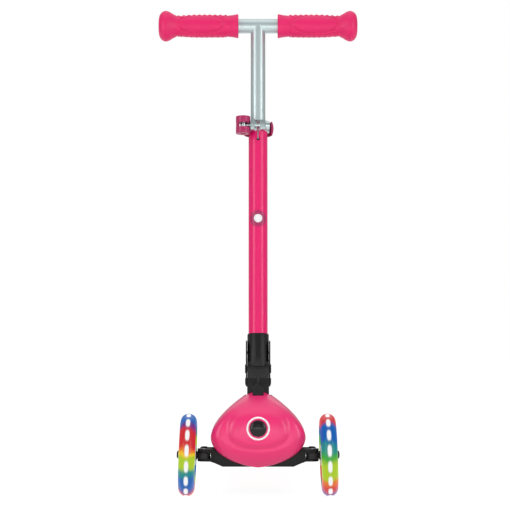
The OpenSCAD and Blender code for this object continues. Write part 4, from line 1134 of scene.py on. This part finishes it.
class SCOOTER_OT_button(bpy.types.Operator):
    """Makes the domed steering lock button"""

    bl_idname = "scooter.button"
    bl_label = "Steering lock button"

    def execute(self, context):
        finish = finishes()
        low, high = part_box("lock_button")
        centre = (low + high) / 2
        deep = (high.y - low.y) / MM
        dome_r, dome_angle, steps = 22, math.radians(32.7), 12
        profile = [(0, deep), (13.5, deep), (13.5, deep - 2), (11.9, deep - 2), (11.9, 4.2), (11.6, 3.45)]
        for i in range(1, steps + 1):
            a = dome_angle * (1 - i / steps)
            profile.append((dome_r * math.sin(a), dome_r - dome_r * math.cos(a)))
        mesh = turned(profile, along((0, 1, 0), (0, low.y, centre.z)), 96)
        add_piece("lock_button_cap", mesh, "steering_lock", finish["button"], ["lock_button"], 40)
        spring_low, spring_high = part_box("button_spring")
        base = bpy.data.meshes.new("start")
        base.from_pydata([(0, 0, 0)], [], [])
        wire = grow(
            base, spring_tree(),
            {
                "Turns": 7.0, "Radius": 0.005, "Length": spring_high.y - spring_low.y - 0.0014, "Wire": 0.0007,
                "Finish": finish["steel"],
            },
        )
        wire.transform(along((0, 1, 0), (0, spring_low.y + 0.0007, BUTTON_Z)))
        spring = add_piece("button_spring_wire", wire, "chassis", finish["steel"], ["button_spring"], 60)
        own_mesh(spring)
        return {"FINISHED"}


class SCOOTER_OT_front_wheels(bpy.types.Operator):
    """Makes both light-up front wheels"""

    bl_idname = "scooter.front_wheels"
    bl_label = "Front wheels"

    def execute(self, context):
        finish = finishes()
        red, blue, teal, green, lime, yellow, orange, purple = (
            (214, 40, 50), (0, 96, 182), (20, 142, 140), (60, 170, 60), (176, 208, 30), (244, 200, 30), (236, 110, 36), (
                110, 50, 140,
            )
        )
        zones = {
            "left": [
                (-180, lime), (-140, red), (-110, teal), (-88, blue), (-72, purple), (-55, red), (-40, orange),
                (-28, lime), (-12, lime), (2, green), (16, teal), (30, blue), (48, blue), (62, red),
                (100, red), (130, blue), (155, green), (179.9, lime),
            ],
            "right": [
                (-180, green), (-150, blue), (-118, lime), (-95, red), (-72, red), (-62, purple), (-52, blue),
                (-34, blue), (-22, teal), (-12, lime), (0, lime), (8, yellow), (14, orange), (20, red),
                (40, red), (52, purple), (60, blue), (100, blue), (135, teal), (160, lime), (179.9, green),
            ],
        }
        for side in ("left", "right"):
            spin = joints[f"{side}_wheel_spin"]
            centre = Vector(spin["pos_m"])
            axis = Vector(spin["axis"])
            if axis.x < 0:
                axis = -axis
            place = along(axis, centre)
            body = f"{side}_wheel"
            tread, seat, ring_r = 12.0, 44.0, 48.5
            profile = [(seat, -11.4), (seat + 0.6, -12), (ring_r, -12)]
            for i in range(1, 40):
                a = math.radians(-90 + 180 * i / 40)
                profile.append((ring_r + tread * math.cos(a), tread * math.sin(a)))
            profile += [
                (ring_r, 12), (seat + 0.6, 12), (seat, 11.4), (seat, 3.6), (seat + 2.2, 3.6),
                (seat + 2.2, -3.6), (seat, -3.6),
            ]
            tyre_look = glowing_tyre(f"lit {side} tyre", tuple(centre), tuple(axis), zones[side])
            add_piece(
                f"{body}_tyre", turned(profile, place, 160), body, tyre_look, [f"front_tyre_{side}"],
                40,
            )
            rim = rounded_copy(f"front_rim_{side}", 0.9, 3)
            add_piece(f"{body}_rim", rim, body, finish["rim"], [f"front_rim_{side}"], 40)
            outward = axis if side == "left" else -axis
            for label, way in (("outer", outward), ("inner", -outward)):
                bearing = turned(BEARING_FACE, along(way, centre + way * 0.005), 64)
                add_piece(
                    f"{body}_{label}_bearing", bearing, body, finish["steel"], [f"front_bearings_{side}"],
                    40,
                )
        return {"FINISHED"}


class SCOOTER_OT_hubs(bpy.types.Operator):
    """Makes the domed axle nuts and the rounded steering knuckles"""

    bl_idname = "scooter.hubs"
    bl_label = "Axle nuts and knuckles"

    def execute(self, context):
        finish = finishes()
        for side in ("left", "right"):
            spin = joints[f"{side}_wheel_spin"]
            centre = Vector(spin["pos_m"])
            axis = Vector(spin["axis"])
            outward = axis if (axis.x > 0) == (side == "left") else -axis
            body = f"{side}_knuckle"
            cap = [(0, 0.0), (6.2, 0.0), (6.2, 1.7), (6.0, 2.1), (5.2, 2.9), (4.2, 3.5), (3.0, 3.8), (0, 3.85)]
            add_piece(
                f"{body}_cap", turned(cap, along(outward, centre + outward * 0.0123), 64), body,
                finish["metal"], [f"axle_nut_{side}"], 45,
            )
            # rubber boot that closes the fork's throat round the king pin
            sign = 1 if side == "left" else -1
            boot = [
                (8.4, -4.1), (9.8, -4.1), (10.1, -3.7), (10.1, -1.2), (9.6, -0.6), (9.6, 0.6), (10.1, 1.2),
                (10.1, 3.7), (9.8, 4.1), (8.4, 4.1),
            ]
            throat = Vector((sign * 0.080, AXLE_Y, centre.z - 0.0010))
            add_piece(
                f"{body}_boot", turned(boot, Matrix.Translation(throat), 64), body, finish["rubber"], [],
                45,
            )
            arm = rounded_copy(f"knuckle_{side}", 0.5, 2)
            add_piece(f"{body}_forging", arm, body, finish["metal"], [f"knuckle_{side}"], 40)
        return {"FINISHED"}


class SCOOTER_OT_chassis(bpy.types.Operator):
    """Rounds the beam, the column, the fork and the tie rod"""

    bl_idname = "scooter.chassis"
    bl_label = "Beam, column, fork and tie rod"

    def execute(self, context):
        finish = finishes()
        for node, body, width, look, slot in (
            ("front_beam", "chassis", 1.2, "metal", "black_metal"),
            ("column_mount", "chassis", 1.0, "plastic", "black_plastic"),
            ("rear_fork", "chassis", 0.8, "metal", "black_metal"),
            ("tie_rod", "track_rod", 0.6, "metal", "black_metal"),
            ("lean_block", "steering_block", 1.0, "metal", "black_metal"),
            ("hinge_plate_left", "steering_block", 0.35, "metal", "black_metal"),
            ("hinge_plate_right", "steering_block", 0.35, "metal", "black_metal"),
            ("bar_sleeve", "stem", 0.8, "plastic", "black_plastic"),
            ("fold_slider", "fold_lock", 0.6, "lever", "dark_pink"),
            ("brake_fender", "foot_brake", 0.7, "plastic", "black_plastic"),
        ):
            add_piece(f"{node}_moulding", rounded_copy(node, width, 2), body, finish[look], [node], 40)
        return {"FINISHED"}


class SCOOTER_OT_joint_guard(bpy.types.Operator):
    """Makes the front guard of the folding joint with its arch and rib"""

    bl_idname = "scooter.joint_guard"
    bl_label = "Guard of the folding joint"

    def execute(self, context):
        finish = finishes()
        fold_y, fold_z = (FOLD_PLACE.y - AXLE_Y) / MM, FOLD_PLACE.z / MM
        clear = 17.2
        outline = [(22.1, 168), (22.1, 185.5), (22.5, 187), (23.4, 188), (fold_y - clear + 0.4, 188)]
        for i in range(9):
            a = math.radians(3 + 43 * i / 8)
            outline.append((fold_y - clear * math.cos(a), fold_z - clear * math.sin(a)))
        outline.append((31.0, 168))
        half = 15.8
        points, faces = [], []
        count = len(outline)
        for x, inset in ((-half, 0.8), (-half + 0.8, 0.0), (half - 0.8, 0.0), (half, 0.8)):
            for y, z in outline:
                points.append(place_from_axle(x, max(y, 22.1 + inset), min(z, 188 - inset)))
        for i in range(3):
            for j in range(count):
                k = (j + 1) % count
                faces.append((i * count + j, i * count + k, (i + 1) * count + k, (i + 1) * count + j))
        faces += [tuple(range(count)), tuple(3 * count + j for j in range(count))]
        guard = mesh_from(points, faces, None, True)
        # rib that runs down the middle to the arch over the lean axle
        rib_points, rib_faces = [], []
        levels = [(186.5, 0.0, 0.3), (185.5, 0.9, 1.0), (182, 1.3, 1.3), (165, 1.6, 1.3), (158, 1.8, 1.3)]
        for z, half_rib, out in levels:
            section = (
                (-half_rib - 0.5, 22.6), (-half_rib, 22.1 - out * 0.7), (0.0, 22.1 - out),
                (half_rib, 22.1 - out * 0.7), (half_rib + 0.5, 22.6),
            )
            for x, y in section:
                rib_points.append(place_from_axle(x, y, z))
        for i in range(len(levels) - 1):
            for j in range(5):
                k = (j + 1) % 5
                rib_faces.append((i * 5 + j, i * 5 + k, (i + 1) * 5 + k, (i + 1) * 5 + j))
        rib_faces += [tuple(range(5)), tuple((len(levels) - 1) * 5 + j for j in range(5))]
        rib = mesh_from(rib_points, rib_faces, None, True)
        add_piece("joint_guard", merged([guard, rib]), "steering_block", finish["plastic"], [], 40)
        return {"FINISHED"}


class SCOOTER_OT_clamp(bpy.types.Operator):
    """Rounds the collar and the lever of the height clamp"""

    bl_idname = "scooter.clamp"
    bl_label = "Height clamp"

    def execute(self, context):
        finish = finishes()
        add_piece(
            "clamp_collar_casting", rounded_copy("clamp_collar", 0.7, 2), "stem", finish["cast"],
            ["clamp_collar"], 40,
        )
        add_piece(
            "clamp_bolt_turned", rounded_copy("clamp_bolt", 0.35, 2), "stem", finish["cast"], ["clamp_bolt"],
            40,
        )
        # end wall that joins the two halves of the lever's barrel housing
        pivot = Vector(joints["clamp_swing"]["pos_m"])
        points, faces = [], []
        steps = 28
        for i in range(steps + 1):
            a = math.radians(133 + 94 * i / steps)
            for r, up in ((8.2, -4.6), (10.5, -4.6), (10.75, -4.2), (10.75, 4.2), (10.5, 4.6), (8.2, 4.6)):
                points.append((r * MM * math.cos(a), r * MM * math.sin(a), up * MM))
        for i in range(steps):
            for j in range(6):
                k = (j + 1) % 6
                faces.append((i * 6 + j, (i + 1) * 6 + j, (i + 1) * 6 + k, i * 6 + k))
        faces += [tuple(range(6)), tuple(steps * 6 + j for j in range(6))]
        turn = BAR.copy()
        turn.translation = pivot
        add_piece(
            "clamp_lever_web", mesh_from(points, faces, turn, True), "clamp_handle", finish["lever"], [],
            50,
        )
        add_piece(
            "clamp_lever_moulding", rounded_copy("clamp_lever", 1.6, 4), "clamp_handle", finish["lever"],
            ["clamp_lever"], 40,
        )
        return {"FINISHED"}


class SCOOTER_OT_deck(bpy.types.Operator):
    """Rounds the footboard's edge and lays the ribbed mat"""

    bl_idname = "scooter.deck"
    bl_label = "Deck and mat"

    def execute(self, context):
        look = context.scene.scooter_deck
        finish = finishes()
        low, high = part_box("deck_board")
        mat_low, mat_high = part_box("deck_mat")

        def outer_top(edge):
            a, b = (v.co for v in edge.verts)
            if min(a.z, b.z) < high.z - 1e-5:
                return False
            # the mat's seat and the rear cut-out keep a small radius
            m = (a + b) / 2
            by_mat = abs(m.x) < mat_high.x + 0.002 and mat_low.y - 0.002 < m.y < mat_high.y + 0.002
            by_wheel = abs(m.x) < 0.027 and m.y > mat_high.y
            return not by_mat and not by_wheel

        board = rounded_copy("deck_board", look.edge_round / MM, 5, 40, outer_top)
        add_piece("deck_moulding", board, "chassis", finish["cover"], ["deck_board"], 35)
        mat = rounded_copy("deck_mat", 0.25, 2, 40)
        add_piece("deck_mat_rubber", mat, "chassis", finish["mat"], ["deck_mat"], 40)
        return {"FINISHED"}


class SCOOTER_OT_rear_wheel(bpy.types.Operator):
    """Makes the milky back wheel"""

    bl_idname = "scooter.rear_wheel"
    bl_label = "Back wheel"

    def execute(self, context):
        finish = finishes()
        place = along((1, 0, 0), REAR_AXLE)
        half, r = 14.0, 40.0
        profile = [(29, -half + 1.2), (29.6, -half + 0.2), (31, -half)]
        for i in range(13):
            a = math.radians(-90 + 90 * i / 12)
            profile.append((r - 7 + 7 * math.cos(a), -half + 7 + 7 * math.sin(a)))
        for i in range(13):
            a = math.radians(90 * i / 12)
            profile.append((r - 7 + 7 * math.cos(a), half - 7 + 7 * math.sin(a)))
        profile += [(31, half), (29.6, half - 0.2), (29, half - 1.2)]
        add_piece(
            "back_wheel_tyre", turned(profile, place, 128), "back_wheel", finish["milky"], ["rear_tyre"],
            40,
        )
        add_piece(
            "back_wheel_rim", rounded_copy("rear_rim", 0.6, 2), "back_wheel", finish["rim"], ["rear_rim"],
            40,
        )
        for label, sign in (("left", 1), ("right", -1)):
            way = Vector((sign, 0, 0))
            add_piece(
                f"back_wheel_{label}_bearing", turned(BEARING_FACE, along(way, REAR_AXLE + way * 0.007), 64),
                "back_wheel", finish["steel"], ["rear_bearings"], 40,
            )
        return {"FINISHED"}


class SCOOTER_PT_panel(bpy.types.Panel):
    """Lists the steps that dress the scooter"""

    bl_idname = "SCOOTER_PT_panel"
    bl_label = "Kick scooter"
    bl_space_type = "VIEW_3D"
    bl_region_type = "UI"
    bl_category = "Scooter"

    def draw(self, context):
        for step in STEPS:
            self.layout.operator(step.bl_idname, text=step.bl_label)
        for group in SETTINGS:
            box = self.layout.box()
            box.label(text=group.__doc__)
            settings = getattr(context.scene, SETTINGS[group])
            for name in group.__annotations__:
                box.prop(settings, name)


SETTINGS = {
    ScooterColours: "scooter_colours",
    GripLook: "scooter_grip",
    CoverLook: "scooter_cover",
    DeckLook: "scooter_deck",
    WheelLook: "scooter_wheel",
    StudioLook: "scooter_studio",
}
STEPS = (
    SCOOTER_OT_stage,
    SCOOTER_OT_plain_finishes,
    SCOOTER_OT_grips,
    SCOOTER_OT_nose,
    SCOOTER_OT_neck,
    SCOOTER_OT_button,
    SCOOTER_OT_front_wheels,
    SCOOTER_OT_hubs,
    SCOOTER_OT_chassis,
    SCOOTER_OT_joint_guard,
    SCOOTER_OT_clamp,
    SCOOTER_OT_deck,
    SCOOTER_OT_rear_wheel,
)


def register():
    for group, name in SETTINGS.items():
        bpy.utils.register_class(group)
        setattr(bpy.types.Scene, name, bpy.props.PointerProperty(type=group))
    for step in STEPS:
        bpy.utils.register_class(step)
    bpy.utils.register_class(SCOOTER_PT_panel)


def unregister():
    bpy.utils.unregister_class(SCOOTER_PT_panel)
    for step in reversed(STEPS):
        bpy.utils.unregister_class(step)
    for group, name in SETTINGS.items():
        delattr(bpy.types.Scene, name)
        bpy.utils.unregister_class(group)


def main():
    register()
    for step in STEPS:
        group, name = step.bl_idname.split(".")
        getattr(getattr(bpy.ops, group), name)()


if __name__ == "__main__":
    main()
